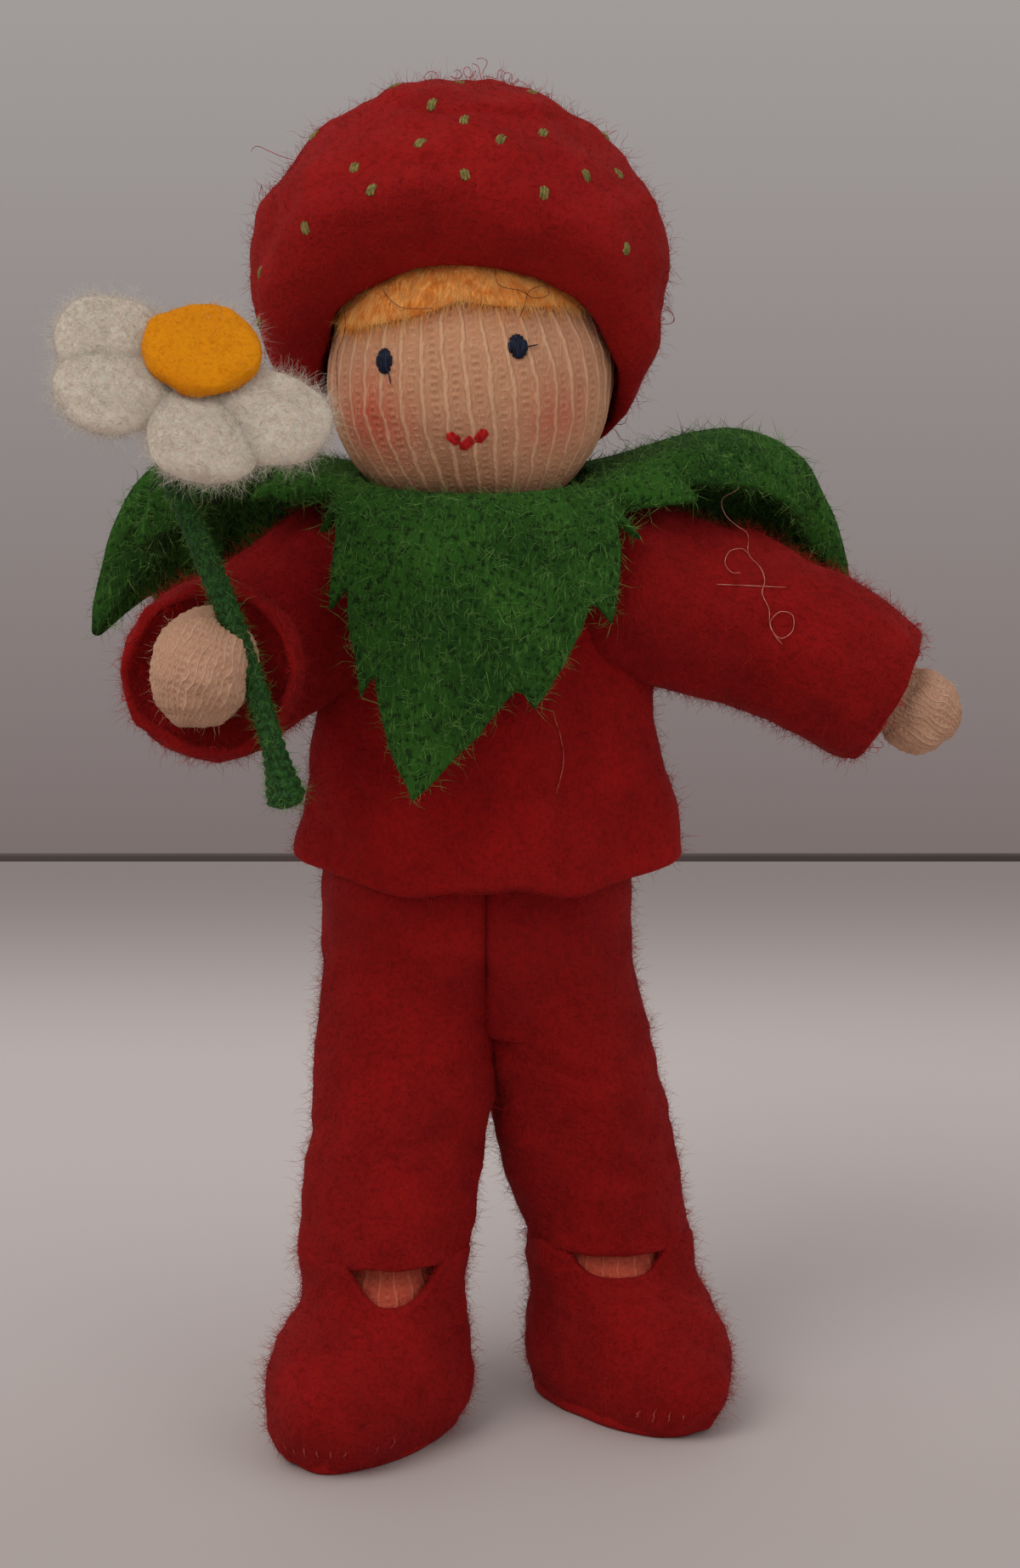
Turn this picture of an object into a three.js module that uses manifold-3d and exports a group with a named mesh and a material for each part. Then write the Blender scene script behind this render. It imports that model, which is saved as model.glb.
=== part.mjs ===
// A bendy doll of felt, knit and wool on a wire armature, dressed as a strawberry and holding a daisy.
// Millimetres, +Z up. The doll faces -Y, so its own left side is +X. Its soles stand on z = 0.

import * as THREE from 'three';
import { mergeVertices } from 'three/addons/utils/BufferGeometryUtils.js';
import Module from 'manifold-3d';

const wasm = await Module();
wasm.setup();

// Stock the doll is made of
const feltThickness = 1.1;
const hatFelt = 1.6;
const knitThickness = 0.6;
const wireDiameter = 1;
const bendDiameter = 1.1;
const clearance = 0.3;
const boreClearance = 0.35;

// Heights of the skeleton
const hipHeight = 41.5;
const hipToWaist = 9.8;
const trunkLength = 22.4;
const shoulderToNeck = 5.5;
const neckLength = 1;
const ankleHeight = 15;

// Legs
const hipGap = 0.6;
const legDiameter = 13.6;
const cuffFlare = 0.7;
const kneeShare = 0.5;
const leftAnkleSpread = 10;
const leftAnkleForward = -1.5;
const rightAnkleSpread = 8.5;
const rightAnkleForward = 6.5;
const trouserGap = 0.5;
const leftHipSwing = [-20, 85];
const rightHipSwing = [-33, 72];
const hipSpread = [0, 22];
const kneeBend = 80;

// Seat and pelvis
const seatHalfWidth = 13.4;
const seatHalfDepth = 6.7;
const seatAboveWaist = 1.6;
const seatBelowWaist = 8;
const yokeWeb = 0.5;
const waistBend = 18;

// Trunk
const hemHalfWidth = 16.8;
const hemHalfDepth = 9.6;
const chestHalfWidth = 14.2;
const chestHalfDepth = 8.3;
const hemBelowWaist = 2;
const neckHole = 11.6;
const shoulderYokeBack = 1.8;

// Arms
const shoulderSpacing = 26;
const sleeveRoot = 15.4;
const sleeveElbow = 14.4;
const sleeveCuff = 14;
const upperArm = 11.4;
const forearm = 12.2;
const cuffRecess = 3.4;
const leftUpperDropAngle = 15;
const leftForearmDropAngle = 29;
const rightUpperDropAngle = 29;
const rightUpperForwardAngle = 25;
const rightForearmDropAngle = -9;
const rightForearmForwardAngle = 85;
const leftRaise = [-12, 45];
const leftSweep = [-15, 30];
const leftElbowBend = [0, 60];
const rightRaise = [-20, 4];
const rightSweep = [-35, 3];
const rightElbowBend = [-60, 3];

// Hands
const wristDiameter = 6.2;
const leftHand = 7.2;
const leftHandLength = 8.6;
const rightHand = 8.6;
const rightHandLength = 9.4;
const handWireLength = 4;

// Shoes and feet
const soleThickness = 1.3;
const shoeLength = 23.4;
const shoeWidth = 17.2;
const shoeHeel = 6.9;
const shoeTop = 13.8;
const toeHeight = 10.6;
const leftToeOut = 35;
const rightToeOut = 30;
const vampLength = 7;
const vampDepth = 2.4;

// Head
const headDiameter = 24.4;
const headRoll = 6;
const neckDiameter = 7.2;
const neckBore = 3;
const neckLink = 1.6;
const headWireLength = 16;
const threadDiameter = 0.7;
const hairThickness = 1;
const hairAngle = 37;
const hairTilt = 12;

// Face
const eyeWidth = 1.5;
const eyeHeight = 2;
const eyeDepth = 0.6;
const eyeAzimuth = 28.5;
const eyeElevation = 16;
const mouthWidth = 2.8;
const mouthDip = 0.6;
const mouthElevation = -19;
const mouthThread = 0.5;

// Hat
const hatWidth = 36.2;
const hatDepth = 34;
const hatHeight = 30.2;
const hatDrop = 5.1;
const hatAside = 1.5;
const hatBack = 1.5;
const hatRoll = 11;
const brimAhead = 0.4;
const brimTilt = 36;
const brimThickness = 3.4;

// Leaf collar
const collarInset = 1.7;
const collarAside = 0.9;
const collarRise = 4.4;
const collarReach = 34;
const toothDepth = 3;
const teethPerEdge = 3;

// Daisy
const stemHeight = 34.5;
const stemDiameter = 2;
const fistReach = 3.15;
const gripAside = 3.6;
const gripBehind = 0.5;
const petalLength = 10.6;
const petalWidth = 8.8;
const petalThickness = 3.2;
const petalTurns = [112, 166, 214, 266, 322];
const petalRadius = 7;
const discDiameter = 10;
const discThickness = 1.6;
const blossomLift = 51;
const blossomSide = 8;
const blossomGap = 1.2;

// Facets
const limbSides = 16;
const wireSides = 8;
const threadSides = 6;
const threadSteps = 20;
const stemSteps = 12;
const domeSteps = 3;
const handSteps = 6;
const petalSides = 12;
const petalRings = 6;
const eyeSides = 10;
const trunkSides = 28;
const shoeSides = 20;
const headSides = 24;
const headSteps = 10;
const coreSteps = 8;
const hairSteps = 5;
const hatSides = 28;
const hatInnerSides = 18;
const collarRings = 4;
const stepsPerTooth = 3;

// Cutting shapes, turns and tolerances
const cutterSize = 120;
const overrun = 4;
const weldDistance = 1e-4;
const originStep = 1;
const quarterTurn = 90;
const fullTurn = 360;

// Materials
const finish = (color, roughness, metalness = 0) =>
  new THREE.MeshStandardMaterial({ color, roughness, metalness });
const redFelt = finish(0xa5100f, 0.95);
const greenFelt = finish(0x1f6a22, 0.95);
const fleshKnit = finish(0xe0a98b, 0.85);
const whiteWool = finish(0xe4ddd2, 0.98);
const hairWool = finish(0xd98a35, 0.95);
const yellowFelt = finish(0xf0a90c, 0.95);
const greenYarn = finish(0x1d5a25, 0.85);
const steel = finish(0x8d9095, 0.35, 1);
const navyThread = finish(0x14203a, 0.7);
const redThread = finish(0xc4151a, 0.7);
const peachThread = finish(0xe8bfa6, 0.75);

const X = new THREE.Vector3(1, 0, 0);
const Y = new THREE.Vector3(0, 1, 0);
const Z = new THREE.Vector3(0, 0, 1);
const at = (x, y, z) => new THREE.Vector3(x, y, z);
const radians = THREE.MathUtils.degToRad;
const lerp = THREE.MathUtils.lerp;

// Closed solid from a three.js geometry, with its poles welded and its faces out
function solidOf(geometry) {
  const bare = new THREE.BufferGeometry();
  bare.setAttribute('position', geometry.getAttribute('position'));
  if (geometry.index) bare.setIndex(geometry.index);
  const welded = mergeVertices(bare, weldDistance);
  const place = welded.getAttribute('position');
  const corners = welded.index.array;
  const faces = [];
  const [a, b, c] = [new THREE.Vector3(), new THREE.Vector3(), new THREE.Vector3()];
  let volume = 0;
  for (let i = 0; i < corners.length; i += 3) {
    const [p, q, r] = [corners[i], corners[i + 1], corners[i + 2]];
    if (p === q || q === r || p === r) continue;
    faces.push([p, q, r]);
    a.fromBufferAttribute(place, p);
    b.fromBufferAttribute(place, q);
    c.fromBufferAttribute(place, r);
    volume += a.dot(b.cross(c));
  }
  const triVerts = Uint32Array.from(faces.flatMap(([p, q, r]) => (volume < 0 ? [p, r, q] : [p, q, r])));
  const vertProperties = Float32Array.from(place.array);
  return new wasm.Manifold(new wasm.Mesh({ numProp: 3, vertProperties, triVerts }));
}

// Named mesh from a solid
function piece(name, solid, material) {
  const { vertProperties, triVerts } = solid.getMesh();
  const geometry = new THREE.BufferGeometry();
  geometry.setAttribute('position', new THREE.BufferAttribute(vertProperties, 3));
  geometry.setIndex(new THREE.BufferAttribute(triVerts, 1));
  geometry.computeVertexNormals();
  const mesh = new THREE.Mesh(geometry, material);
  mesh.name = name;
  return mesh;
}

const joined = (solids) => solids.reduce((whole, next) => whole.add(next));
const less = (solid, cutters) => cutters.reduce((left, cutter) => left.subtract(cutter), solid);

// Matrix that lays the Y axis along a direction from a start
function laidAlong(start, direction) {
  const turn = new THREE.Quaternion().setFromUnitVectors(Y, direction.clone().normalize());
  return new THREE.Matrix4().compose(start, turn, at(1, 1, 1));
}

// Arc of a profile, by its angles in degrees from level
function arc(radius, from, to, steps, rise = 0) {
  return Array.from({ length: steps + 1 }, (_, i) => {
    const angle = radians(lerp(from, to, i / steps));
    return new THREE.Vector2(Math.max(0, radius * Math.cos(angle)), rise + radius * Math.sin(angle));
  });
}

const corner = (radius, along) => new THREE.Vector2(radius, along);

function revolved(profile, sides, start, direction) {
  return solidOf(new THREE.LatheGeometry(profile, sides).applyMatrix4(laidAlong(start, direction)));
}

// Limb along a direction: a round end about its joint, then radii at even steps to a flat end
function limbForm(start, direction, radii, length) {
  const side = radii.slice(1).map((radius, i) => corner(radius, (length * (i + 1)) / (radii.length - 1)));
  const profile = [...arc(radii[0], -quarterTurn, 0, domeSteps), ...side, corner(0, length)];
  return revolved(profile, limbSides, start, direction);
}

// Hollow cloth limb: the same form one cloth thickness smaller taken out, open at its far end
function limbCover(start, direction, radii, length) {
  const inner = radii.map((radius) => radius - feltThickness);
  const side = inner.slice(1).map((radius, i) => corner(radius, (length * (i + 1)) / (radii.length - 1)));
  const far = length + overrun;
  const dome = arc(inner[0], -quarterTurn, 0, domeSteps);
  const hollow = [...dome, ...side, corner(inner.at(-1), far), corner(0, far)];
  return limbForm(start, direction, radii, length).subtract(revolved(hollow, limbSides, start, direction));
}

// Room that a round limb takes about its joint, for every way within an angle of its middle way
function jointRoom(centre, radius, way, swing, reach) {
  const [across, along] = [Math.cos(radians(swing)), Math.sin(radians(swing))];
  const mouth = corner(radius * across + reach * along, reach * across - radius * along);
  const profile = [...arc(radius, -quarterTurn, -swing, domeSteps), mouth, corner(0, mouth.y)];
  return revolved(profile, limbSides, centre, way);
}

const middleOf = ([from, to]) => (from + to) / 2;
const halfOf = ([from, to]) => (to - from) / 2;

// Straight rod with flat ends
function rod(start, end, diameter, sides = wireSides) {
  const along = end.clone().sub(start);
  const length = along.length();
  const profile = [corner(0, 0), corner(diameter / 2, 0), corner(diameter / 2, length), corner(0, length)];
  return revolved(profile, sides, start, along);
}

const towards = (start, direction, distance) => start.clone().addScaledVector(direction, distance);

function ball(centre, diameter, across = limbSides) {
  const geometry = new THREE.SphereGeometry(diameter / 2, across, across / 2);
  return solidOf(geometry.rotateX(Math.PI / 2).translate(centre.x, centre.y, centre.z));
}

function ellipsoid(size, across, down) {
  return new THREE.SphereGeometry(1 / 2, across, down).rotateX(Math.PI / 2).scale(size.x, size.y, size.z);
}

// Loft through level oval sections, each with a height, a middle, and half sizes to the sides, front and back
function loft(sections, around) {
  const points = [];
  for (const { z, x = 0, y = 0, halfWidth, front, back = front } of sections) {
    for (let i = 0; i < around; i++) {
      const angle = (Math.PI * 2 * i) / around;
      const depth = Math.sin(angle) * (Math.sin(angle) < 0 ? front : back);
      points.push(x + Math.cos(angle) * halfWidth, y + depth, z);
    }
  }
  const last = sections.length - 1;
  const low = points.length / 3;
  for (const { z, x = 0, y = 0 } of [sections[0], sections[last]]) points.push(x, y, z);
  const faces = [];
  for (let i = 0; i < around; i++) {
    const next = (i + 1) % around;
    for (let ring = 0; ring < last; ring++) {
      const [p, q] = [ring * around + i, ring * around + next];
      faces.push(p, q, q + around, p, q + around, p + around);
    }
    faces.push(low, next, i);
    faces.push(low + 1, last * around + i, last * around + next);
  }
  const geometry = new THREE.BufferGeometry();
  geometry.setAttribute('position', new THREE.Float32BufferAttribute(points, 3));
  geometry.setIndex(faces);
  return solidOf(geometry);
}

// Round tube along a curve
function tube(curve, diameter, steps, sides) {
  const section = new THREE.Shape(Array.from({ length: sides }, (_, i) => {
    const angle = (Math.PI * 2 * i) / sides;
    return corner((diameter / 2) * Math.cos(angle), (diameter / 2) * Math.sin(angle));
  }));
  return solidOf(new THREE.ExtrudeGeometry(section, { steps, extrudePath: curve, bevelEnabled: false }));
}

// Block whose one face passes a point, squarely across a direction, and which fills all beyond it
function beyond(point, direction) {
  const block = new THREE.BoxGeometry(cutterSize, cutterSize, cutterSize).translate(0, cutterSize / 2, 0);
  return solidOf(block.applyMatrix4(laidAlong(point, direction)));
}

// Skeleton
const hipSpacing = legDiameter + hipGap;
const headRadius = headDiameter / 2;
const neckToHead = headRadius + neckLength;
const waistHeight = hipHeight + hipToWaist;
const shoulderHeight = waistHeight + trunkLength;
const neckHeight = shoulderHeight + shoulderToNeck;
const waist = at(0, 0, waistHeight);
const neck = at(0, 0, neckHeight);
const legRadius = legDiameter / 2;
const boreDiameter = wireDiameter + 2 * boreClearance;
const wireStart = bendDiameter / 2 + clearance;

const leg = (side, spread, forward, swing, toeOut) => {
  const hip = at((side * hipSpacing) / 2, 0, hipHeight);
  const ankle = at(side * spread, -forward, ankleHeight);
  const knee = hip.clone().lerp(ankle, kneeShare);
  return { side, hip, knee, ankle, swing, toeOut, down: ankle.clone().sub(hip).normalize() };
};
const legs = {
  left: leg(1, leftAnkleSpread, leftAnkleForward, leftHipSwing, leftToeOut),
  right: leg(-1, rightAnkleSpread, rightAnkleForward, rightHipSwing, rightToeOut),
};

// Direction of an arm, from how far it is turned from sideways to the front and how far it drops
const armWay = (side, forward, drop) => {
  const level = Math.cos(radians(drop));
  const ahead = -level * Math.sin(radians(forward));
  return at(side * level * Math.cos(radians(forward)), ahead, -Math.sin(radians(drop)));
};
const arm = (side, upper, lower, raise, sweep, bend) => {
  const shoulder = at((side * shoulderSpacing) / 2, 0, shoulderHeight);
  const elbow = towards(shoulder, upper, upperArm);
  const raiseAxis = at(upper.x, upper.y, 0).normalize().cross(Z);
  const sweepAxis = at(0, 0, -side);
  return { side, shoulder, elbow, upper, lower, raise, sweep, bend, raiseAxis, sweepAxis };
};
const arms = {
  left: arm(
    1,
    armWay(1, 0, leftUpperDropAngle),
    armWay(1, 0, leftForearmDropAngle),
    leftRaise,
    leftSweep,
    leftElbowBend,
  ),
  right: arm(
    -1,
    armWay(-1, rightUpperForwardAngle, rightUpperDropAngle),
    armWay(-1, rightForearmForwardAngle, rightForearmDropAngle),
    rightRaise,
    rightSweep,
    rightElbowBend,
  ),
};
arms.left.bendAxis = at(0, 0, -1);
arms.right.bendAxis = arms.right.upper.clone().cross(arms.right.lower).normalize();

const doll = new THREE.Group();

// Room the thighs take as they swing and spread
const hipRoom = Object.values(legs).map(({ side, hip, down, swing }) => {
  const spread = down.clone().applyAxisAngle(Y, radians(-side * middleOf(hipSpread)));
  const way = spread.applyAxisAngle(X, radians(-middleOf(swing)));
  return jointRoom(hip, legRadius + clearance, way, halfOf(swing), 2 * legDiameter);
});

// Room the upper arms take as they rise and sweep
const shoulderRoom = Object.values(arms).map(({ shoulder, upper, raise, sweep, raiseAxis, sweepAxis }) => {
  const raised = upper.clone().applyAxisAngle(raiseAxis, radians(middleOf(raise)));
  const way = raised.applyAxisAngle(sweepAxis, radians(middleOf(sweep)));
  const swing = Math.hypot(halfOf(raise), halfOf(sweep));
  return jointRoom(shoulder, sleeveRoot / 2 + clearance, way, swing, sleeveRoot);
});

// Legs: a felt thigh and shin that meet in a ball at the knee, wool wrapped inside, and a wire through each
const woolRadius = legRadius - feltThickness - clearance;
const ankleBall = 2 * woolRadius;

for (const [name, { hip, knee, ankle, down }] of Object.entries(legs)) {
  const bent = down.clone().applyAxisAngle(X, radians(kneeBend / 2));
  const kneeRoom = jointRoom(knee, legRadius + clearance, bent, kneeBend / 2, 2 * legDiameter);
  const ankleRoom = ball(ankle, ankleBall + 2 * clearance);
  const cuff = beyond(at(ankle.x, ankle.y, ankle.z + trouserGap), Z.clone().negate());
  const thighLength = knee.distanceTo(hip);
  const shinLength = ankle.distanceTo(knee) + legRadius;
  const shinRadii = [legRadius, legRadius, legRadius + cuffFlare];
  const thighBore = rod(towards(hip, down, -legRadius), towards(knee, down, legRadius), boreDiameter);
  const shinBore = rod(towards(knee, down, -legRadius), towards(ankle, down, legRadius), boreDiameter);
  const thighWire = rod(
    towards(hip, down, wireStart),
    towards(knee, down, -legRadius - 2 * clearance),
    wireDiameter,
  );
  const shinWire = rod(
    towards(knee, down, clearance - woolRadius),
    towards(ankle, down, -woolRadius - 2 * clearance),
    wireDiameter,
  );
  doll.add(
    piece(`${name}_trouser_thigh`, limbCover(hip, down, [legRadius, legRadius], thighLength)
      .subtract(kneeRoom), redFelt),
    piece(`${name}_trouser_shin`, limbCover(knee, down, shinRadii, shinLength).subtract(cuff), redFelt),
    piece(`${name}_thigh_wool`, less(limbForm(hip, down, [woolRadius, woolRadius], thighLength),
      [thighBore, kneeRoom]), whiteWool),
    piece(`${name}_shin_wool`, less(limbForm(knee, down, [woolRadius, woolRadius], shinLength),
      [shinBore, ankleRoom, cuff]), whiteWool),
    piece(`${name}_thigh_wire`, thighWire, steel),
    piece(`${name}_shin_wire`, shinWire, steel),
    piece(`${name}_hip_wire_bend`, ball(hip, bendDiameter, wireSides), steel),
  );
}

// Shoe form, as shares of its height to the toe's top: width, toe reach, how far the cloth inset lowers it
const lastShares = [
  [0, 0.93, 0.96, 0],
  [0.3, 1, 1, 0],
  [0.62, 0.97, 0.96, 0.4],
  [0.86, 0.91, 0.83, 0.8],
  [1, 0.85, 0.64, 1],
];
const collarShares = { rise: 0.4, reach: 0.49, width: 1.03 };
const shoeSeat = soleThickness + clearance;

function shoeForm(inset, low, high) {
  const half = shoeWidth / 2 - inset;
  const toe = shoeLength - shoeHeel - inset;
  const heel = shoeHeel - inset;
  const body = lastShares.map(([height, width, reach, lowered]) => ({
    z: lerp(shoeSeat, toeHeight, height) - inset * lowered,
    halfWidth: half * width,
    front: toe * reach,
    back: heel,
  }));
  const instep = {
    z: lerp(toeHeight, shoeTop, collarShares.rise) - inset / 2,
    halfWidth: heel * collarShares.width,
    front: toe * collarShares.reach,
    back: heel,
  };
  const sections = [...body, instep, { z: shoeTop, halfWidth: heel, front: heel, back: heel }];
  if (low < shoeSeat) sections.unshift({ ...body[0], z: low });
  if (high > shoeTop) sections.push({ ...sections.at(-1), z: high });
  return loft(sections, shoeSides);
}

// Feet: felt sole, felt upper with its vamp opening, knit foot with a ball at the ankle, and its wire
for (const [name, { side, ankle, toeOut }] of Object.entries(legs)) {
  const shoe = new THREE.Group();
  shoe.position.set(ankle.x, ankle.y, 0);
  shoe.rotation.z = radians(side * toeOut);
  const vamp = solidOf(ellipsoid(at(2 * woolRadius, vampLength, 2 * vampDepth), limbSides, wireSides)
    .translate(0, -shoeHeel - feltThickness, shoeTop - feltThickness));
  const cavity = shoeForm(feltThickness, shoeSeat - overrun, shoeTop + overrun);
  const ankleCentre = at(0, 0, ankleHeight);
  const foot = shoeForm(feltThickness + clearance, shoeSeat, shoeTop).add(ball(ankleCentre, ankleBall));
  const wireFoot = shoeSeat + feltThickness;
  const footBore = rod(at(0, 0, wireFoot), at(0, 0, ankleHeight + ankleBall), boreDiameter);
  const wireTop = ankleHeight + woolRadius - clearance;
  const footWire = rod(at(0, 0, wireFoot + clearance), at(0, 0, wireTop), wireDiameter);
  const soleHalf = { halfWidth: shoeWidth / 2, front: shoeLength - shoeHeel, back: shoeHeel };
  const sole = loft([{ z: 0, ...soleHalf }, { z: soleThickness, ...soleHalf }], shoeSides);
  shoe.add(
    piece(`${name}_shoe_upper`, less(shoeForm(0, shoeSeat, shoeTop), [cavity, vamp]), redFelt),
    piece(`${name}_sole`, sole, redFelt),
    piece(`${name}_foot`, foot.subtract(footBore), fleshKnit),
    piece(`${name}_foot_wire`, footWire, steel),
  );
  doll.add(shoe);
}

// Seat of the trousers, the wool inside it, and the wire yoke between the hips
const seatForm = (inset, low, high) => {
  const half = { halfWidth: seatHalfWidth - inset, front: seatHalfDepth - inset };
  return loft([{ z: low, ...half }, { z: high, ...half }], limbSides);
};
const seatLow = waistHeight - seatBelowWaist;
const seatTop = waistHeight + seatAboveWaist;
const pelvisDome = seatHalfDepth - feltThickness - clearance;
const yokeHeight = hipHeight + legRadius + clearance + yokeWeb + boreDiameter / 2;
const yokeEnd = (side, height, extra = 0) => at(side * (hipSpacing / 2 + extra), 0, height);
const yokeBore = rod(
  yokeEnd(-1, yokeHeight, seatHalfWidth),
  yokeEnd(1, yokeHeight, seatHalfWidth),
  boreDiameter,
);
const waistBore = rod(waist, at(0, 0, waistHeight + 2 * pelvisDome), boreDiameter);
const seatHollow = seatForm(feltThickness, seatLow - overrun, seatTop + overrun);
const pelvis = seatForm(feltThickness + clearance, seatLow, waistHeight).add(ball(waist, 2 * pelvisDome));
doll.add(
  piece('trouser_seat', less(seatForm(0, seatLow, seatTop), [seatHollow, ...hipRoom]), redFelt),
  piece('pelvis_wool', less(pelvis, [yokeBore, waistBore, ...hipRoom]), whiteWool),
  piece('hip_yoke_wire', rod(yokeEnd(-1, yokeHeight), yokeEnd(1, yokeHeight), wireDiameter), steel),
);

// Jacket, flared to its hem, as shares of its height: flare of the hem, then shares of the chest
const flareShares = [[0, 1], [0.2, 0.62], [0.42, 0.3], [0.62, 0]];
const shoulderShares = [[0.82, 0.92, 0.94], [0.94, 0.72, 0.84]];
const hemHeight = waistHeight - hemBelowWaist;
const neckRim = neckHeight;

function trunkForm(inset, low, high) {
  const level = (share) => lerp(hemHeight, neckRim, share);
  const lower = flareShares.map(([height, flare]) => ({
    z: level(height),
    halfWidth: lerp(chestHalfWidth, hemHalfWidth, flare) - inset,
    front: lerp(chestHalfDepth, hemHalfDepth, flare) - inset,
  }));
  const upper = shoulderShares.map(([height, width, depth]) => ({
    z: level(height) - inset / 2,
    halfWidth: chestHalfWidth * width - inset,
    front: chestHalfDepth * depth - inset,
  }));
  const rim = neckHole / 2 + feltThickness - inset;
  const sections = [...lower, ...upper, { z: neckRim, halfWidth: rim, front: rim }];
  if (low < hemHeight) sections.unshift({ ...sections[0], z: low });
  if (high > neckRim) sections.push({ ...sections.at(-1), z: high });
  return loft(sections, trunkSides);
}

const jacket = trunkForm(0, hemHeight, neckRim)
  .subtract(trunkForm(feltThickness, hemHeight - overrun, neckRim + overrun));

// Trunk wool, open to the waist dome, the shoulders and the neck, with the spine and shoulder wires
const neckBall = ball(neck, neckDiameter + 2 * clearance);
const waistRise = seatAboveWaist + seatHalfDepth * Math.sin(radians(waistBend)) + clearance;
const waistRoom = ball(waist, 2 * (pelvisDome + clearance));
const belowTrunk = beyond(at(0, 0, waistHeight + waistRise), Z.clone().negate());
const aboveTrunk = beyond(at(0, 0, neckHeight - neckLink), Z);
const spineLow = at(0, 0, waistHeight + pelvisDome + 2 * clearance);
const spineHigh = at(0, 0, neckHeight - neckDiameter / 2 - 2 * clearance);
const spineBore = rod(waist, neck, boreDiameter);
const yokeHalf = shoulderSpacing / 2 - sleeveRoot / 2 - 2 * clearance;
const shoulderYoke = (reach, diameter) => rod(
  at(-reach, shoulderYokeBack, shoulderHeight),
  at(reach, shoulderYokeBack, shoulderHeight),
  diameter,
);
const trunkWool = trunkForm(feltThickness + clearance, hemHeight, neckRim);
doll.add(
  piece('jacket', less(jacket, shoulderRoom), redFelt),
  piece('trunk_wool', less(trunkWool, [
    belowTrunk,
    aboveTrunk,
    waistRoom,
    neckBall,
    spineBore,
    shoulderYoke(shoulderSpacing / 2, boreDiameter),
    ...shoulderRoom,
  ]), whiteWool),
  piece('spine_wire', rod(spineLow, spineHigh, wireDiameter), steel),
  piece('shoulder_yoke_wire', shoulderYoke(yokeHalf, wireDiameter), steel),
);

// Daisy stem, as shares of its height from where the right hand grips it
const stemShares = [
  [0.078, 0, -0.293],
  [0.046, 0, -0.154],
  [0, 0, 0],
  [-0.058, 0, 0.168],
  [-0.122, 0, 0.33],
  [-0.19, 0, 0.54],
  [-0.118, 0.035, 0.667],
];
const rightCuff = towards(arms.right.elbow, arms.right.lower, forearm);
const fist = towards(rightCuff, arms.right.lower, fistReach);
const grip = fist.clone().add(at(gripAside, gripBehind, 0));
const stemCurve = new THREE.CatmullRomCurve3(
  stemShares.map(([x, y, z]) => towards(grip, at(x, y, z), stemHeight)),
);
const stemRoom = tube(stemCurve, stemDiameter + 2 * clearance, stemSteps, wireSides);

// Hand: a knit wrist and mitten along a direction, on the wire's end
function handForm(start, direction, width, length) {
  const radius = width / 2;
  const wrist = wristDiameter / 2;
  const from = Math.asin(wrist / radius);
  const mitten = Array.from({ length: handSteps + 1 }, (_, i) => {
    const angle = lerp(from, Math.PI, i / handSteps);
    return corner(radius * Math.sin(angle), length - radius - radius * Math.cos(angle));
  });
  mitten[handSteps].x = 0;
  return revolved([corner(0, 0), corner(wrist, 0), ...mitten], limbSides, start, direction);
}

// Arms: upper and lower felt sleeves that meet in a ball at the elbow, wool inside, a wire through each
const hands = { left: [leftHand, leftHandLength], right: [rightHand, rightHandLength] };
for (const [name, one] of Object.entries(arms)) {
  const { shoulder, elbow, upper, lower, bend, bendAxis } = one;
  const [root, middle, end] = [sleeveRoot / 2, sleeveElbow / 2, sleeveCuff / 2];
  const way = lower.clone().applyAxisAngle(bendAxis, radians(middleOf(bend)));
  const elbowRoom = jointRoom(elbow, middle + clearance, way, halfOf(bend), sleeveElbow);
  const thin = feltThickness + clearance;
  const woolEnd = forearm - cuffRecess;
  const upperWool = limbForm(shoulder, upper, [root - thin, middle - thin], upperArm);
  const lowerWool = limbForm(elbow, lower, [middle - thin, end - thin], woolEnd);
  const upperBore = rod(towards(shoulder, upper, -root), towards(elbow, upper, middle), boreDiameter);
  const boreEnd = towards(elbow, lower, woolEnd + overrun);
  const lowerBore = rod(towards(elbow, lower, -middle), boreEnd, boreDiameter);
  const handStart = towards(elbow, lower, woolEnd + clearance);
  const [width, length] = hands[name];
  const handBore = rod(handStart.clone().addScaledVector(lower, -overrun),
    towards(handStart, lower, handWireLength + clearance), boreDiameter);
  const hand = handForm(handStart, lower, width, length).subtract(handBore);
  const upperWire = rod(
    towards(shoulder, upper, wireStart),
    towards(elbow, upper, -middle - 2 * clearance),
    wireDiameter,
  );
  const lowerWire = rod(towards(elbow, lower, thin - middle + clearance),
    towards(handStart, lower, handWireLength), wireDiameter);
  doll.add(
    piece(`${name}_sleeve_upper`, limbCover(shoulder, upper, [root, middle], upperArm)
      .subtract(elbowRoom), redFelt),
    piece(`${name}_sleeve_lower`, limbCover(elbow, lower, [middle, end], forearm), redFelt),
    piece(`${name}_upper_arm_wool`, less(upperWool, [upperBore, elbowRoom]), whiteWool),
    piece(`${name}_forearm_wool`, less(lowerWool, [lowerBore]), whiteWool),
    piece(`${name}_upper_arm_wire`, upperWire, steel),
    piece(`${name}_forearm_wire`, lowerWire, steel),
    piece(`${name}_hand`, name === 'right' ? hand.subtract(stemRoom) : hand, fleshKnit),
    piece(`${name}_shoulder_wire_bend`, ball(shoulder, bendDiameter, wireSides), steel),
  );
}

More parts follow.
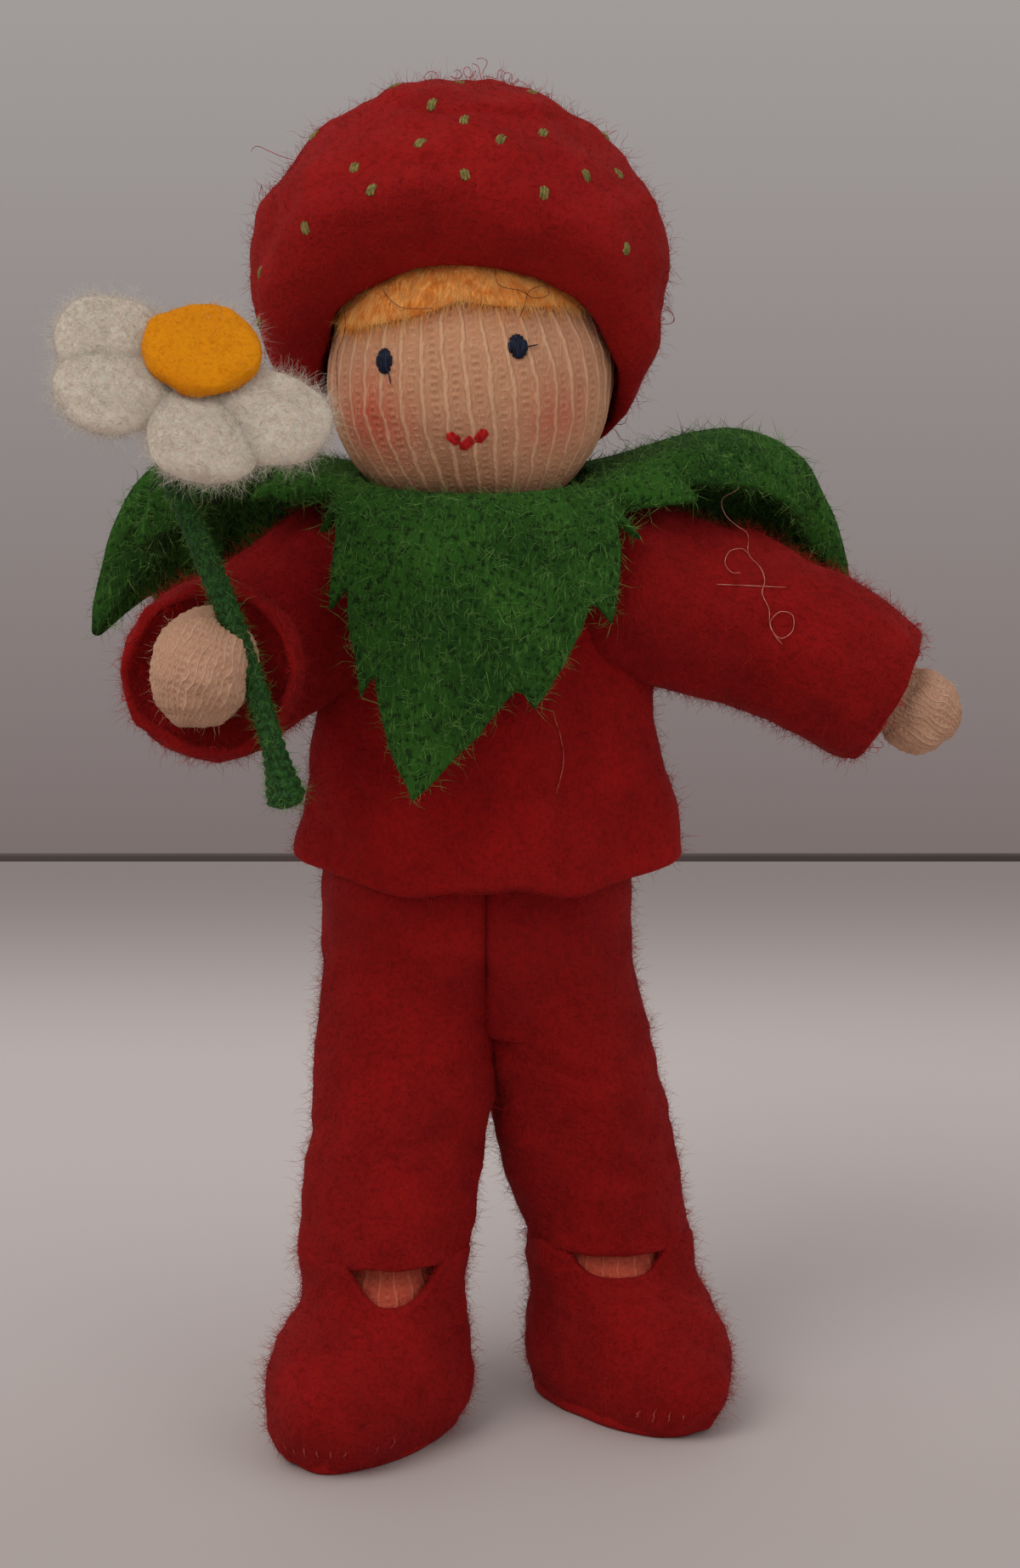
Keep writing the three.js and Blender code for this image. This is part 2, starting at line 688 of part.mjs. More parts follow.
// Daisy: stem, felted petals on a hub, and a felt disc
const stemTop = stemCurve.getPoint(1);
const blossom = new THREE.Group();
const facing = at(
  Math.cos(radians(blossomLift)) * Math.sin(radians(blossomSide)),
  -Math.cos(radians(blossomLift)) * Math.cos(radians(blossomSide)),
  Math.sin(radians(blossomLift)),
);
blossom.position.copy(stemTop);
blossom.quaternion.setFromUnitVectors(Z, facing);
const petalRise = blossomGap + petalThickness / 2;
const felted = (length, width) => ellipsoid(at(length, width, petalThickness), petalSides, petalRings);
const petals = petalTurns.map((turn) =>
  solidOf(felted(petalLength, petalWidth).translate(petalRadius, 0, petalRise).rotateZ(radians(turn))));
const hub = solidOf(felted(discDiameter, discDiameter).translate(0, 0, petalRise));
const discLow = petalRise + petalThickness / 2 + clearance;
const discProfile = [
  corner(0, discLow),
  corner(discDiameter / 2, discLow),
  corner(discDiameter / 2, discLow + discThickness / 2),
  corner(discDiameter / 2 - discThickness / 2, discLow + discThickness),
  corner(0, discLow + discThickness),
];
const origin = at(0, 0, 0);
blossom.add(
  piece('daisy_petals', joined([hub, ...petals]), whiteWool),
  piece('daisy_disc', revolved(discProfile, limbSides, origin, Z), yellowFelt),
);
doll.add(piece('daisy_stem', tube(stemCurve, stemDiameter, stemSteps, wireSides), greenYarn), blossom);

// Head, tilted about the neck
const neckRadius = neckDiameter / 2;
const tilt = new THREE.Group();
tilt.position.copy(neck);
tilt.rotation.y = radians(-headRoll);
const head = new THREE.Group();
head.position.z = neckToHead;
tilt.add(head);
doll.add(tilt);

const headProfile = (inset, steps) => {
  const radius = headRadius - inset;
  const narrow = neckRadius - inset;
  const from = THREE.MathUtils.radToDeg(-Math.acos(narrow / radius));
  return [narrow, arc(radius, from, quarterTurn, steps)];
};
const [, outerArc] = headProfile(0, headSteps);
const neckDome = arc(neckRadius, -quarterTurn, 0, domeSteps, -neckToHead);
const skinOuter = revolved([...neckDome, ...outerArc], headSides, origin, Z);
const [innerNeck, innerArc] = headProfile(knitThickness, coreSteps);
const neckEnd = -neckToHead - neckRadius - overrun;
const skinHollow = [corner(0, neckEnd), corner(innerNeck, neckEnd), ...innerArc];
const skinInner = revolved(skinHollow, limbSides, origin, Z);
const [coreNeck, coreArc] = headProfile(knitThickness + clearance, coreSteps);
const coreLow = neckBore / 2 - neckToHead - neckRadius / 2;
const core = revolved([corner(0, coreLow), corner(coreNeck, coreLow), ...coreArc], limbSides, origin, Z);
const headBore = rod(at(0, 0, neckEnd), at(0, 0, headWireLength - neckToHead), neckBore);
const headWireLow = neckLink + neckBore / 2 - neckToHead;
const headWireTop = headWireLength - neckToHead - clearance;
const headWire = rod(at(0, 0, headWireLow), at(0, 0, headWireTop), neckBore - 2 * boreClearance);
const threadRadius = threadDiameter / 2;
const threadReach = neckRadius + clearance + threadRadius;
const threadTurn = new THREE.TorusGeometry(threadReach, threadRadius, threadSides, threadSteps);
threadTurn.translate(0, 0, neckLink / 2 - neckToHead);

// Hair under the hat, a fleece cap leaning forward
const hairAxis = at(0, -Math.sin(radians(hairTilt)), Math.cos(radians(hairTilt)));
const hairInner = headRadius + clearance;
const hairUnder = arc(hairInner, quarterTurn, quarterTurn - hairAngle, hairSteps);
const hairOver = arc(hairInner + hairThickness, quarterTurn - hairAngle, quarterTurn, hairSteps);
const hair = revolved([...hairUnder, ...hairOver], headSides, origin, hairAxis);

// Face: embroidered eyes and mouth stitches, seated on the knit
const faceWay = (azimuth, elevation) => at(
  Math.sin(radians(azimuth)) * Math.cos(radians(elevation)),
  -Math.cos(radians(azimuth)) * Math.cos(radians(elevation)),
  Math.sin(radians(elevation)),
);
const eye = (side) => {
  const way = faceWay(side * eyeAzimuth, eyeElevation);
  const centre = way.clone().multiplyScalar(headRadius + clearance + eyeDepth / 2);
  const turn = new THREE.Quaternion().setFromUnitVectors(Y.clone().negate(), way);
  const place = new THREE.Matrix4().compose(centre, turn, at(1, 1, 1));
  return solidOf(ellipsoid(at(eyeWidth, eyeDepth, eyeHeight), eyeSides, wireSides).applyMatrix4(place));
};
const mouthCurve = new THREE.QuadraticBezierCurve3(...[-1, 0, 1].map((side) => {
  const reach = headRadius + clearance + mouthThread;
  const middle = faceWay(0, mouthElevation).multiplyScalar(reach);
  const dip = side ? 0 : -2 * mouthDip;
  return middle.add(at((side * mouthWidth) / 2, side ? mouthThread / 2 : 0, dip));
}));
head.add(
  piece('head_knit', skinOuter.subtract(skinInner), fleshKnit),
  piece('head_ball', core.subtract(headBore), whiteWool),
  piece('head_wire', headWire, steel),
  piece('neck_thread', solidOf(threadTurn), peachThread),
  piece('hair', hair, hairWool),
  piece('left_eye', eye(1), navyThread),
  piece('right_eye', eye(-1), navyThread),
  piece('mouth_stitches', tube(mouthCurve, mouthThread, threadSides, threadSides), redThread),
);

// Bends of the neck wire
doll.add(
  piece('neck_wire_lower_bend', ball(neck, bendDiameter, wireSides), steel),
  piece('neck_wire_upper_bend', ball(towards(neck, Z, neckLink), bendDiameter, wireSides), steel),
);

// Hat, as shares of its height and of its half width and depth
const hatShares = [
  [0, 0.7],
  [0.1, 0.83],
  [0.25, 0.94],
  [0.42, 1],
  [0.58, 0.965],
  [0.72, 0.86],
  [0.84, 0.69],
  [0.93, 0.46],
  [0.985, 0.22],
];
const hatForm = (inset, around) => loft(hatShares.map(([height, width]) => ({
  x: -hatAside,
  y: hatBack,
  z: height * (hatHeight - inset) - hatDrop,
  halfWidth: (hatWidth / 2) * width - inset,
  front: (hatDepth / 2) * width - inset,
})), around);
const brimWay = at(0, -Math.cos(radians(brimTilt)), -Math.sin(radians(brimTilt)));
const brimPlane = beyond(brimWay.clone().multiplyScalar(brimAhead), brimWay);
const brimInside = beyond(brimWay.clone().multiplyScalar(brimAhead - brimThickness), brimWay);
const hatCavity = hatForm(hatFelt, hatInnerSides).subtract(brimInside);
const headRoom = ball(origin, headDiameter + 2 * clearance, headSides);
const hairEdge = hairAxis.clone().multiplyScalar(headRadius * Math.cos(radians(hairAngle + hairTilt)));
const hairRoom = ball(origin, 2 * (hairInner + hairThickness + clearance), headSides)
  .subtract(beyond(hairEdge, hairAxis.clone().negate()));
const hat = new THREE.Group();
hat.rotation.y = radians(hatRoll);
hat.add(piece('hat', less(hatForm(0, hatSides), [brimPlane, hatCavity, headRoom, hairRoom]), redFelt));
head.add(hat);

// Leaf collar: four lobes of one felt star. Shares of its reach, from the middle of its neck ring,
// go round from the front notch on the doll's right: the edge's place, then the drape it hangs over
const tipShares = [
  [-0.16, -0.426, -0.729, -0.06, -0.426, -0.03],
  [0.953, 0.235, -0.326, 0.9, 0.18, 0.3],
  [0.06, 0.44, -0.694, 0.03, 0.44, -0.03],
  [-0.982, 0.176, -0.42, -0.95, 0.13, 0.25],
];
const notchShares = [
  [-0.374, -0.235, -0.018, -0.34, -0.22, 0.01],
  [0.397, -0.235, -0.07, 0.32, -0.22, 0],
  [0.368, 0.28, -0.07, 0.31, 0.25, 0],
  [-0.368, 0.28, -0.047, -0.325, 0.25, 0],
];
const bulgeShares = [
  [[-0.376, -0.406, -0.312], [0.397, -0.368, -0.4]],
  [[0.735, -0.206, 0.218], [0.72, 0.52, -0.4]],
  [[0.465, 0.465, -0.388], [-0.435, 0.465, -0.388]],
  [[-0.7, 0.5, -0.4], [-0.765, -0.088, 0.153]],
];
const tipTurns = [-95, 10, 88, 172];
const notchTurns = [-146, -38, 40, 140];
const collarMiddle = neck.clone().add(at(-collarAside, 0, collarRise));
const collarPoint = ([x, y, z]) => towards(collarMiddle, at(x, y, z), collarReach);
const stepsPerEdge = teethPerEdge * stepsPerTooth;

// One column of the collar, from its neck ring over its drape to its edge
function collarColumn(notch, tip, bulge, notchTurn, tipTurn, step) {
  const phase = step % stepsPerTooth;
  const along = (step - (phase === 1 ? 1 / 2 : 0)) / stepsPerEdge;
  const edgeLine = new THREE.QuadraticBezierCurve3(collarPoint(notch), collarPoint(bulge), collarPoint(tip));
  const drape = collarPoint(notch.slice(3)).lerp(collarPoint(tip.slice(3)), along);
  const edge = edgeLine.getPoint(along);
  const cut = phase === 0 ? 0 : (stepsPerTooth - phase) / (stepsPerTooth - 1);
  edge.addScaledVector(drape.clone().sub(edge).normalize(), toothDepth * cut);
  const turn = radians(lerp(notchTurn, tipTurn, along));
  const ring = at(Math.cos(turn), Math.sin(turn), 0).multiplyScalar(headRadius - collarInset);
  return new THREE.QuadraticBezierCurve3(ring.add(collarMiddle), drape, edge).getPoints(collarRings);
}

const collarColumns = tipShares.flatMap((tip, lobe) => {
  const next = (lobe + 1) % tipShares.length;
  const lastTurn = notchTurns[next] + (next ? 0 : fullTurn);
  const [up, down] = bulgeShares[lobe];
  const steps = Array.from({ length: stepsPerEdge }, (_, i) => i);
  const rising = steps.map((i) =>
    collarColumn(notchShares[lobe], tip, up, notchTurns[lobe], tipTurns[lobe], i));
  const falling = steps.map((i) =>
    collarColumn(notchShares[next], tip, down, lastTurn, tipTurns[lobe], stepsPerEdge - i));
  return [...rising, ...falling];
});

// Sheet through a closed round of columns, given its thickness across its own faces
function feltSheet(columns, thickness) {
  const rings = columns[0].length;
  const round = columns.length;
  const over = [];
  const under = [];
  columns.forEach((column, i) => column.forEach((point, j) => {
    const [before, after] = [columns[(i + round - 1) % round][j], columns[(i + 1) % round][j]];
    const [inner, outer] = [column[Math.max(0, j - 1)], column[Math.min(rings - 1, j + 1)]];
    const across = outer.clone().sub(inner).cross(after.clone().sub(before)).normalize();
    over.push(...towards(point, across, thickness / 2).toArray());
    under.push(...towards(point, across, -thickness / 2).toArray());
  }));
  const low = round * rings;
  const faces = [];
  for (let i = 0; i < round; i++) {
    const [here, next] = [i * rings, ((i + 1) % round) * rings];
    for (let j = 0; j < rings - 1; j++) {
      const [a, b, c, d] = [here + j, here + j + 1, next + j + 1, next + j];
      faces.push(a, b, c, a, c, d, low + a, low + c, low + b, low + a, low + d, low + c);
    }
    const [rim, nextRim] = [here + rings - 1, next + rings - 1];
    faces.push(here, next, low + next, here, low + next, low + here);
    faces.push(rim, low + nextRim, nextRim, rim, low + rim, low + nextRim);
  }
  const geometry = new THREE.BufferGeometry();
  geometry.setAttribute('position', new THREE.Float32BufferAttribute([...over, ...under], 3));
  geometry.setIndex(faces);
  return solidOf(geometry);
}
doll.add(piece('leaf_collar', feltSheet(collarColumns, feltThickness), greenFelt));

// Stand the doll over the middle of its own outline
const outline = new THREE.Box3().setFromObject(doll, true);
const middle = outline.getCenter(new THREE.Vector3());
const stepped = (length) => Math.round(length / originStep) * originStep;
doll.position.set(-stepped(middle.x), -stepped(middle.y), 0);

export default doll;
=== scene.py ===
from math import acos, asin, atan, cos, exp, pi, radians, sin, sqrt

import bmesh
import bpy
import numpy as np
from mathutils import Matrix, Vector
from mathutils.bvhtree import BVHTree


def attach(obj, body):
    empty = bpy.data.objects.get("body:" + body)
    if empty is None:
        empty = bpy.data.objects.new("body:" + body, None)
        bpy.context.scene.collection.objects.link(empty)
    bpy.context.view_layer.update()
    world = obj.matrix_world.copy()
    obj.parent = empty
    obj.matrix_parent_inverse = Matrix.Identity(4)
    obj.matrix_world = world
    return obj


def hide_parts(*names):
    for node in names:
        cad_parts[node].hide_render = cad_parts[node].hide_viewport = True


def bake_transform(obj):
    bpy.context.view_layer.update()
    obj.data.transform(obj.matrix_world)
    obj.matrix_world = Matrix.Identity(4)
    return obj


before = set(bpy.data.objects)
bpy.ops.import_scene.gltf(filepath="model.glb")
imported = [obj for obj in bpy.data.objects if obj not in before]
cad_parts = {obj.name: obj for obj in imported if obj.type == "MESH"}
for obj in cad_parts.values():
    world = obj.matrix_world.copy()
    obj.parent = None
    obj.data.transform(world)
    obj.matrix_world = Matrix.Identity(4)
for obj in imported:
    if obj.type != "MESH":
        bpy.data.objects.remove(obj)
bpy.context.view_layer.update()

# Lengths below are millimetres in the doll's own frame, which stands SHIFT away from the row frame
MM = 0.001
SHIFT = np.array([-2.0, 5.0, 0.0])
TURN = 2 * pi
X, Y, Z = np.eye(3)
SIDES = ("left", "right")


def unit(v):
    v = np.asarray(v, float)
    return v / np.maximum(np.linalg.norm(v, axis=-1, keepdims=True), 1e-12)


def arm_way(side, forward, drop):
    f, d = radians(forward), radians(drop)
    return np.array([side * cos(d) * cos(f), -cos(d) * sin(f), -sin(d)])


def about_y(degrees):
    """Turn about Y as the solids have it: +Z leans to +X for a positive angle."""
    a = radians(degrees)
    return np.array([[cos(a), 0, sin(a)], [0, 1, 0], [-sin(a), 0, cos(a)]])


def row(points):
    return (np.asarray(points, float) + SHIFT) * MM


def doll(points):
    return np.array(points) / MM - SHIFT


# The skeleton, as in the solids
HIP_Z, WAIST_Z, SHOULDER_Z, NECK_Z, ANKLE_Z = 41.5, 51.3, 73.7, 79.2, 15.0
NECK = Z * NECK_Z
# Hip, ankle, side and toe-out in degrees
LEGS = {
    "left": (np.array([7.1, 0, HIP_Z]), np.array([10.0, 1.5, ANKLE_Z]), 1, 29),
    "right": (np.array([-7.1, 0, HIP_Z]), np.array([-8.5, -6.5, ANKLE_Z]), -1, 23),
}
# Shoulder, way of the upper arm, way of the forearm, side
ARMS = {
    "left": (np.array([13.0, 0, SHOULDER_Z]), arm_way(1, 0, 15), arm_way(1, 0, 29), 1),
    "right": (np.array([-13.0, 0, SHOULDER_Z]), arm_way(-1, 25, 29), arm_way(-1, 85, -9), -1),
}
UPPER_ARM, FOREARM = 11.4, 12.2
HEAD_R, NECK_TO_HEAD = 12.2, 13.2
HEAD_TURN, HAT_TURN = about_y(-6), about_y(5)
HEAD = NECK + HEAD_TURN @ (Z * NECK_TO_HEAD)
HAIR_AXIS = np.array([0, -sin(radians(12)), cos(radians(12))])

# Camera: a little above the doll, looking down on it
AIM = np.array([0.07, 5.0, 56.6]) * MM
ELEVATION, DISTANCE, PX_PER_MM = radians(13), 0.380, 13.41
IMAGE = (1200, 1845)
BACK = np.array([0, -cos(ELEVATION), sin(ELEVATION)])
UP = np.array([0, sin(ELEVATION), cos(ELEVATION)])
EYE = AIM + BACK * DISTANCE


def linked(name, data):
    obj = bpy.data.objects.new(name, data)
    bpy.context.scene.collection.objects.link(obj)
    return obj


def camera():
    data = bpy.data.cameras.new("camera")
    data.sensor_fit = "VERTICAL"
    data.angle = 2 * atan(IMAGE[1] / PX_PER_MM * MM / 2 / DISTANCE)
    data.clip_start, data.clip_end = 0.01, 20
    obj = linked("camera", data)
    obj.location = Vector(EYE)
    obj.rotation_euler = Vector(BACK).to_track_quat("Z", "Y").to_euler()
    bpy.context.scene.camera = obj


def pixel_ray(px, py):
    """Direction from the camera through a pixel of the whole frame."""
    x = (px - IMAGE[0] / 2) / PX_PER_MM * MM
    z = (IMAGE[1] / 2 - py) / PX_PER_MM * MM
    return unit(-BACK * DISTANCE + np.array([x, 0, 0]) + UP * z)


# Colour and materials
def tone(red, green, blue):
    """Linear colour of an sRGB one given out of 255."""
    c = np.array([red, green, blue]) / 255
    c = np.where(c <= 0.04045, c / 12.92, ((c + 0.055) / 1.055) ** 2.4)
    return (*map(float, c), 1.0)


def darker(colour, share):
    return tuple(share * c for c in colour[:3]) + (1,)


class Nodes:
    """Short calls that add nodes to a tree and join them."""

    def __init__(self, tree):
        self.tree = tree

    def node(self, kind, **settings):
        made = self.tree.nodes.new(kind)
        for key, value in settings.items():
            setattr(made, key, value)
        return made

    def feed(self, socket, value):
        if isinstance(value, bpy.types.NodeSocket):
            self.tree.links.new(value, socket)
        else:
            socket.default_value = value

    def math(self, operation, a, b=0.0, clamp=False):
        made = self.node("ShaderNodeMath", operation=operation, use_clamp=clamp)
        self.feed(made.inputs[0], a)
        self.feed(made.inputs[1], b)
        return made.outputs[0]

    def times(self, a, b, clamp=False):
        return self.math("MULTIPLY", a, b, clamp)

    def plus(self, a, b):
        return self.math("ADD", a, b)

    def parts(self, vector):
        made = self.node("ShaderNodeSeparateXYZ")
        self.feed(made.inputs[0], vector)
        return made.outputs

    def ramp(self, value, low, high, to=(0.0, 1.0), kind="SMOOTHSTEP"):
        made = self.node("ShaderNodeMapRange", interpolation_type=kind)
        self.feed(made.inputs["Value"], value)
        for key, number in zip(("From Min", "From Max", "To Min", "To Max"), (low, high, *to)):
            made.inputs[key].default_value = number
        return made.outputs["Result"]

    def mix(self, share, a, b):
        made = self.node("ShaderNodeMix", data_type="RGBA")
        for socket, value in zip((0, 6, 7), (share, a, b)):
            self.feed(made.inputs[socket], value)
        return made.outputs[2]


class Finish(Nodes):
    """A node material under one Principled shader."""

    def __init__(self, name, roughness=0.9, sheen=0.0, tint=None, metallic=0.0, subsurface=0.0, scatter=0.001):
        self.material = bpy.data.materials.new(name)
        self.material.use_nodes = True
        super().__init__(self.material.node_tree)
        self.shader = self.tree.nodes["Principled BSDF"]
        looks = {"Roughness": roughness, "Metallic": metallic, "Specular IOR Level": 0.2}
        if sheen:
            looks |= {"Sheen Weight": sheen, "Sheen Roughness": 0.5, "Sheen Tint": tint}
        if subsurface:
            looks |= {"Subsurface Weight": subsurface, "Subsurface Scale": scatter}
        for key, value in looks.items():
            self.shader.inputs[key].default_value = value
        self.coords = self.node("ShaderNodeTexCoord").outputs["Object"]

    def noise(self, scale, detail=3.0, stretch=None, turn=(0, 0, 0), distortion=0.0):
        """Noise with features about 1/scale metres long, drawn out along Z by stretch."""
        source = self.coords
        if stretch:
            mapping = self.node("ShaderNodeMapping")
            self.feed(mapping.inputs["Vector"], source)
            mapping.inputs["Rotation"].default_value = turn
            mapping.inputs["Scale"].default_value = (1, 1, 1 / stretch)
            source = mapping.outputs["Vector"]
        made = self.node("ShaderNodeTexNoise")
        for key, value in (("Vector", source), ("Scale", scale), ("Detail", detail), ("Distortion", distortion)):
            self.feed(made.inputs[key], value)
        return made.outputs["Fac"]

    def patches(self, scale, detail, low, high, to=(0.0, 1.0)):
        return self.ramp(self.noise(scale, detail), low, high, to)

    def near(self, centre_mm, reach_mm):
        """1 at a place on the doll, fading to 0 at a distance from it."""
        made = self.node("ShaderNodeVectorMath", operation="DISTANCE")
        self.feed(made.inputs[0], self.coords)
        made.inputs[1].default_value = row(centre_mm)
        return self.ramp(made.outputs["Value"], 0.0, reach_mm * MM, (1.0, 0.0))

    def done(self, colour, height=None, bump=0.5, depth=0.0002):
        self.feed(self.shader.inputs["Base Color"], colour)
        if height is not None:
            made = self.node("ShaderNodeBump")
            for key, value in (("Strength", bump), ("Distance", depth), ("Height", height)):
                self.feed(made.inputs[key], value)
            self.feed(self.shader.inputs["Normal"], made.outputs["Normal"])
        return self.material


def felt(name, dark, mid, light, fibre=0.3, pits=0.2, sheen=0.15, scale=1.0, bump=0.5, **depth):
    """Pressed wool: matted fibres running every way, small pits between them painted darker as shade, cloudy dye."""
    f = Finish(name, roughness=0.95, sheen=sheen, tint=light, **depth)
    turns = [(0.3, 0.2, 0), (1.3, 0.4, 0.6), (0.4, 1.4, 1.9), (2.2, 0.9, 2.6)]
    mat, *others = [f.noise(5200 * scale, 1.5, stretch=7, turn=t, distortion=0.4) for t in turns]
    for other in others:
        mat = f.math("MAXIMUM", mat, other)
    fibres = f.ramp(mat, 0.6, 0.78)
    hollow = f.patches(2300 * scale, 4, 0.34, 0.52)
    base = f.mix(f.patches(170, 3, 0.3, 0.7), dark, mid)
    # Painted shade: the pits are darkened towards a deep dark tone
    base = f.mix(f.times(f.math("SUBTRACT", 1.0, hollow), pits), base, darker(dark, 0.35))
    colour = f.mix(f.times(fibres, fibre), base, light)
    return f.done(colour, f.plus(f.times(fibres, 0.6), f.times(hollow, 0.7)), bump, 0.00022)


def strand_finish(name, dark, light):
    f = Finish(name, roughness=0.8, sheen=0.2, tint=light)
    return f.done(f.mix(f.patches(900, 2, 0.35, 0.65), dark, light))


def thread_finish(name, dark, light):
    f = Finish(name, roughness=0.6, sheen=0.1, tint=light)
    plies = f.ramp(f.noise(4200, 2, stretch=3, turn=(0.5, 0.7, 0)), 0.35, 0.65)
    return f.done(f.mix(plies, dark, light), plies, 0.5, 0.0001)


def knit(name, *tones, rouge_and_shade=()):
    """Stockinette in its own UV: U counts the ribs, V the rows. The ribs, plies and rungs are painted lighter as
    painted highlight, the holes darker as painted shade. Spots of rouge and of painted shade are each (place, reach,
    amount, colour).
    """
    skin, light, dark = (tone(*t) for t in tones)
    f = Finish(name, roughness=0.75, sheen=0.15, tint=light, subsurface=0.08)

    def wave(value, sharp):
        """0 to 1 to 0 over each whole number of a value."""
        return f.ramp(f.math("COSINE", f.times(value, TURN)), -1.0 + 2 * (1 - sharp), 1.0)

    uv = f.parts(f.node("ShaderNodeUVMap", uv_map="Knit").outputs["UV"])
    wobble = f.times(f.math("SUBTRACT", f.noise(420, 2), 0.5), 0.5)
    across, along = f.plus(uv["X"], wobble), f.plus(uv["Y"], f.times(wobble, 0.8))
    rib, between = wave(across, 0.2), wave(f.plus(across, 0.5), 0.42)
    holes = f.times(f.times(between, wave(along, 0.55)), f.patches(260, 2, 0.4, 0.62))
    rungs = f.times(between, wave(f.plus(along, 0.5), 0.5))
    plies = f.ramp(f.noise(5200, 2, stretch=4), 0.42, 0.66)
    colour = f.mix(f.patches(150, 2, 0.3, 0.7), skin, darker(skin, 0.9))
    # Spots of rouge, and of painted shade, tinting the knit
    for centre, reach, amount, spot_colour in rouge_and_shade:
        spot = f.times(f.near(centre, reach), f.patches(300, 3, 0.2, 0.6, (0.6, 1.0)))
        colour = f.mix(f.times(spot, amount), colour, spot_colour)
    # Painted highlight along the ribs, plies and rungs, and painted shade in the holes between stitches
    colour = f.mix(f.times(f.plus(f.times(rib, 0.55), f.times(plies, 0.25)), 0.8, True), colour, light)
    colour = f.mix(f.times(rungs, 0.16), colour, light)
    colour = f.mix(f.times(holes, 0.26), colour, dark)
    height = f.plus(f.plus(f.times(rib, 0.8), f.times(rungs, 0.25)), f.times(plies, 0.35))
    return f.done(colour, f.math("SUBTRACT", height, f.times(holes, 0.25)), 0.7, 0.00025)


# Dark, middle and light tone of each felt and wool; dark and light of each fibre and thread
FELTS = {
    "red_felt": ((128, 8, 9), (144, 11, 11), (176, 26, 22)),
    "hat_felt": ((138, 12, 11), (152, 17, 14), (188, 40, 32)),
    # Painted light: the jacket is the same red felt, given lighter tones where more light falls on it
    "jacket_felt": ((136, 8, 9), (154, 11, 11), (184, 26, 22)),
    "sole_felt": ((138, 10, 11), (154, 15, 15), (182, 34, 30)),
    "green_felt": ((30, 66, 16), (44, 88, 24), (88, 134, 58)),
    "yellow_felt": ((210, 124, 0), (222, 138, 0), (234, 158, 12)),
    "white_wool": ((211, 199, 184), (217, 205, 190), (228, 217, 204)),
    "stuffing": ((188, 180, 166), (206, 198, 184), (226, 220, 208)),
}
STRANDS = {
    "red_fuzz": ((134, 9, 9), (182, 30, 25)),
    "green_fuzz": ((52, 94, 30), (116, 158, 80)),
    "yellow_fuzz": ((220, 134, 0), (236, 164, 24)),
    "white_fuzz": ((214, 201, 186), (233, 222, 208)),
    "hair_fuzz": ((240, 150, 62), (252, 198, 118)),
    "skin_fuzz": ((206, 160, 128), (236, 204, 176)),
    "dark_hair": ((58, 30, 26), (104, 66, 56)),
    "pink_hair": ((196, 110, 96), (224, 152, 136)),
}
THREADS = {
    "seam_thread": ((150, 40, 34), (190, 84, 72)),
    "navy_thread": ((14, 18, 34), (34, 42, 64)),
    "red_thread": ((150, 10, 14), (200, 30, 28)),
    "peach_thread": ((206, 156, 124), (230, 190, 160)),
    "khaki_thread": ((104, 96, 46), (144, 132, 74)),
    "green_yarn": ((16, 50, 14), (40, 86, 30)),
}
# Settings for some felts; pits sets how deep the painted shade in the pits is
MORE = {
    "hat_felt": {"pits": 0.22},
    "green_felt": {"fibre": 0.5, "pits": 0.9, "scale": 0.8},
    "yellow_felt": {"fibre": 0.2, "pits": 0.1, "sheen": 0.05, "bump": 0.3},
    "white_wool": {"fibre": 0.15, "pits": 0.0, "sheen": 0.5, "bump": 0.2, "subsurface": 0.35, "scatter": 0.0018},
    "stuffing": {"fibre": 0.4},
}
M = {
    name: make(f"{name}_finish", *(tone(*t) for t in tones), **MORE.get(name, {}))
    for make, looks in ((felt, FELTS), (strand_finish, STRANDS), (thread_finish, THREADS))
    for name, tones in looks.items()
}


# Mesh building
def values(items, key, width, kind=float):
    """One attribute of all of a mesh's items."""
    out = np.zeros(len(items) * width, kind)
    items.foreach_get(key, out)
    return out.reshape(-1, width) if width > 1 else out


def smooth_object(name, mesh, material):
    mesh.polygons.foreach_set("use_smooth", [True] * len(mesh.polygons))
    mesh.materials.append(material)
    return linked(name, mesh)


def build(name, verts_mm, faces, material, uv=None):
    """Closed mesh in the row frame, faces turned outwards. uv is one pair for each vertex."""
    mesh = bpy.data.meshes.new(name)
    mesh.from_pydata([tuple(p) for p in row(verts_mm)], [], [tuple(int(i) for i in f) for f in faces])
    if uv is not None:
        # A face across the seam takes its corners from beyond the last rib
        layer = mesh.uv_layers.new(name="Knit")
        pairs = uv[values(mesh.loops, "vertex_index", 1, np.int32)]
        sizes = values(mesh.polygons, "loop_total", 1, np.int32)
        starts = values(mesh.polygons, "loop_start", 1, np.int32)
        last = uv[:, 0].max()
        ribs = round(last + 0.5)
        for k in range(4):
            at = starts[sizes > k]
            gap = pairs[at + k, 0] - pairs[at, 0]
            pairs[at + k, 0] += ribs * (gap < -last / 2) - ribs * (gap > last / 2)
        layer.data.foreach_set("uv", pairs.ravel())
    work = bmesh.new()
    work.from_mesh(mesh)
    bmesh.ops.recalc_face_normals(work, faces=work.faces)
    work.to_mesh(mesh)
    work.free()
    return smooth_object(name, mesh, material)


def closed(rings):
    """Vertices and faces of a closed body through rings, shaped (rings, around, 3)."""
    rings = np.asarray(rings, float)
    count, around, _ = rings.shape
    verts = np.vstack([rings.reshape(-1, 3), rings[0].mean(0), rings[-1].mean(0)])
    ring = np.arange(around)
    nxt = (ring + 1) % around
    faces = []
    for a in range(0, (count - 1) * around, around):
        b = a + around
        faces += list(zip(a + ring, a + nxt, b + nxt, b + ring))
    low, last = count * around, (count - 1) * around
    faces += list(zip([low] * around, nxt, ring))
    faces += list(zip([low + 1] * around, last + ring, last + nxt))
    return verts, faces


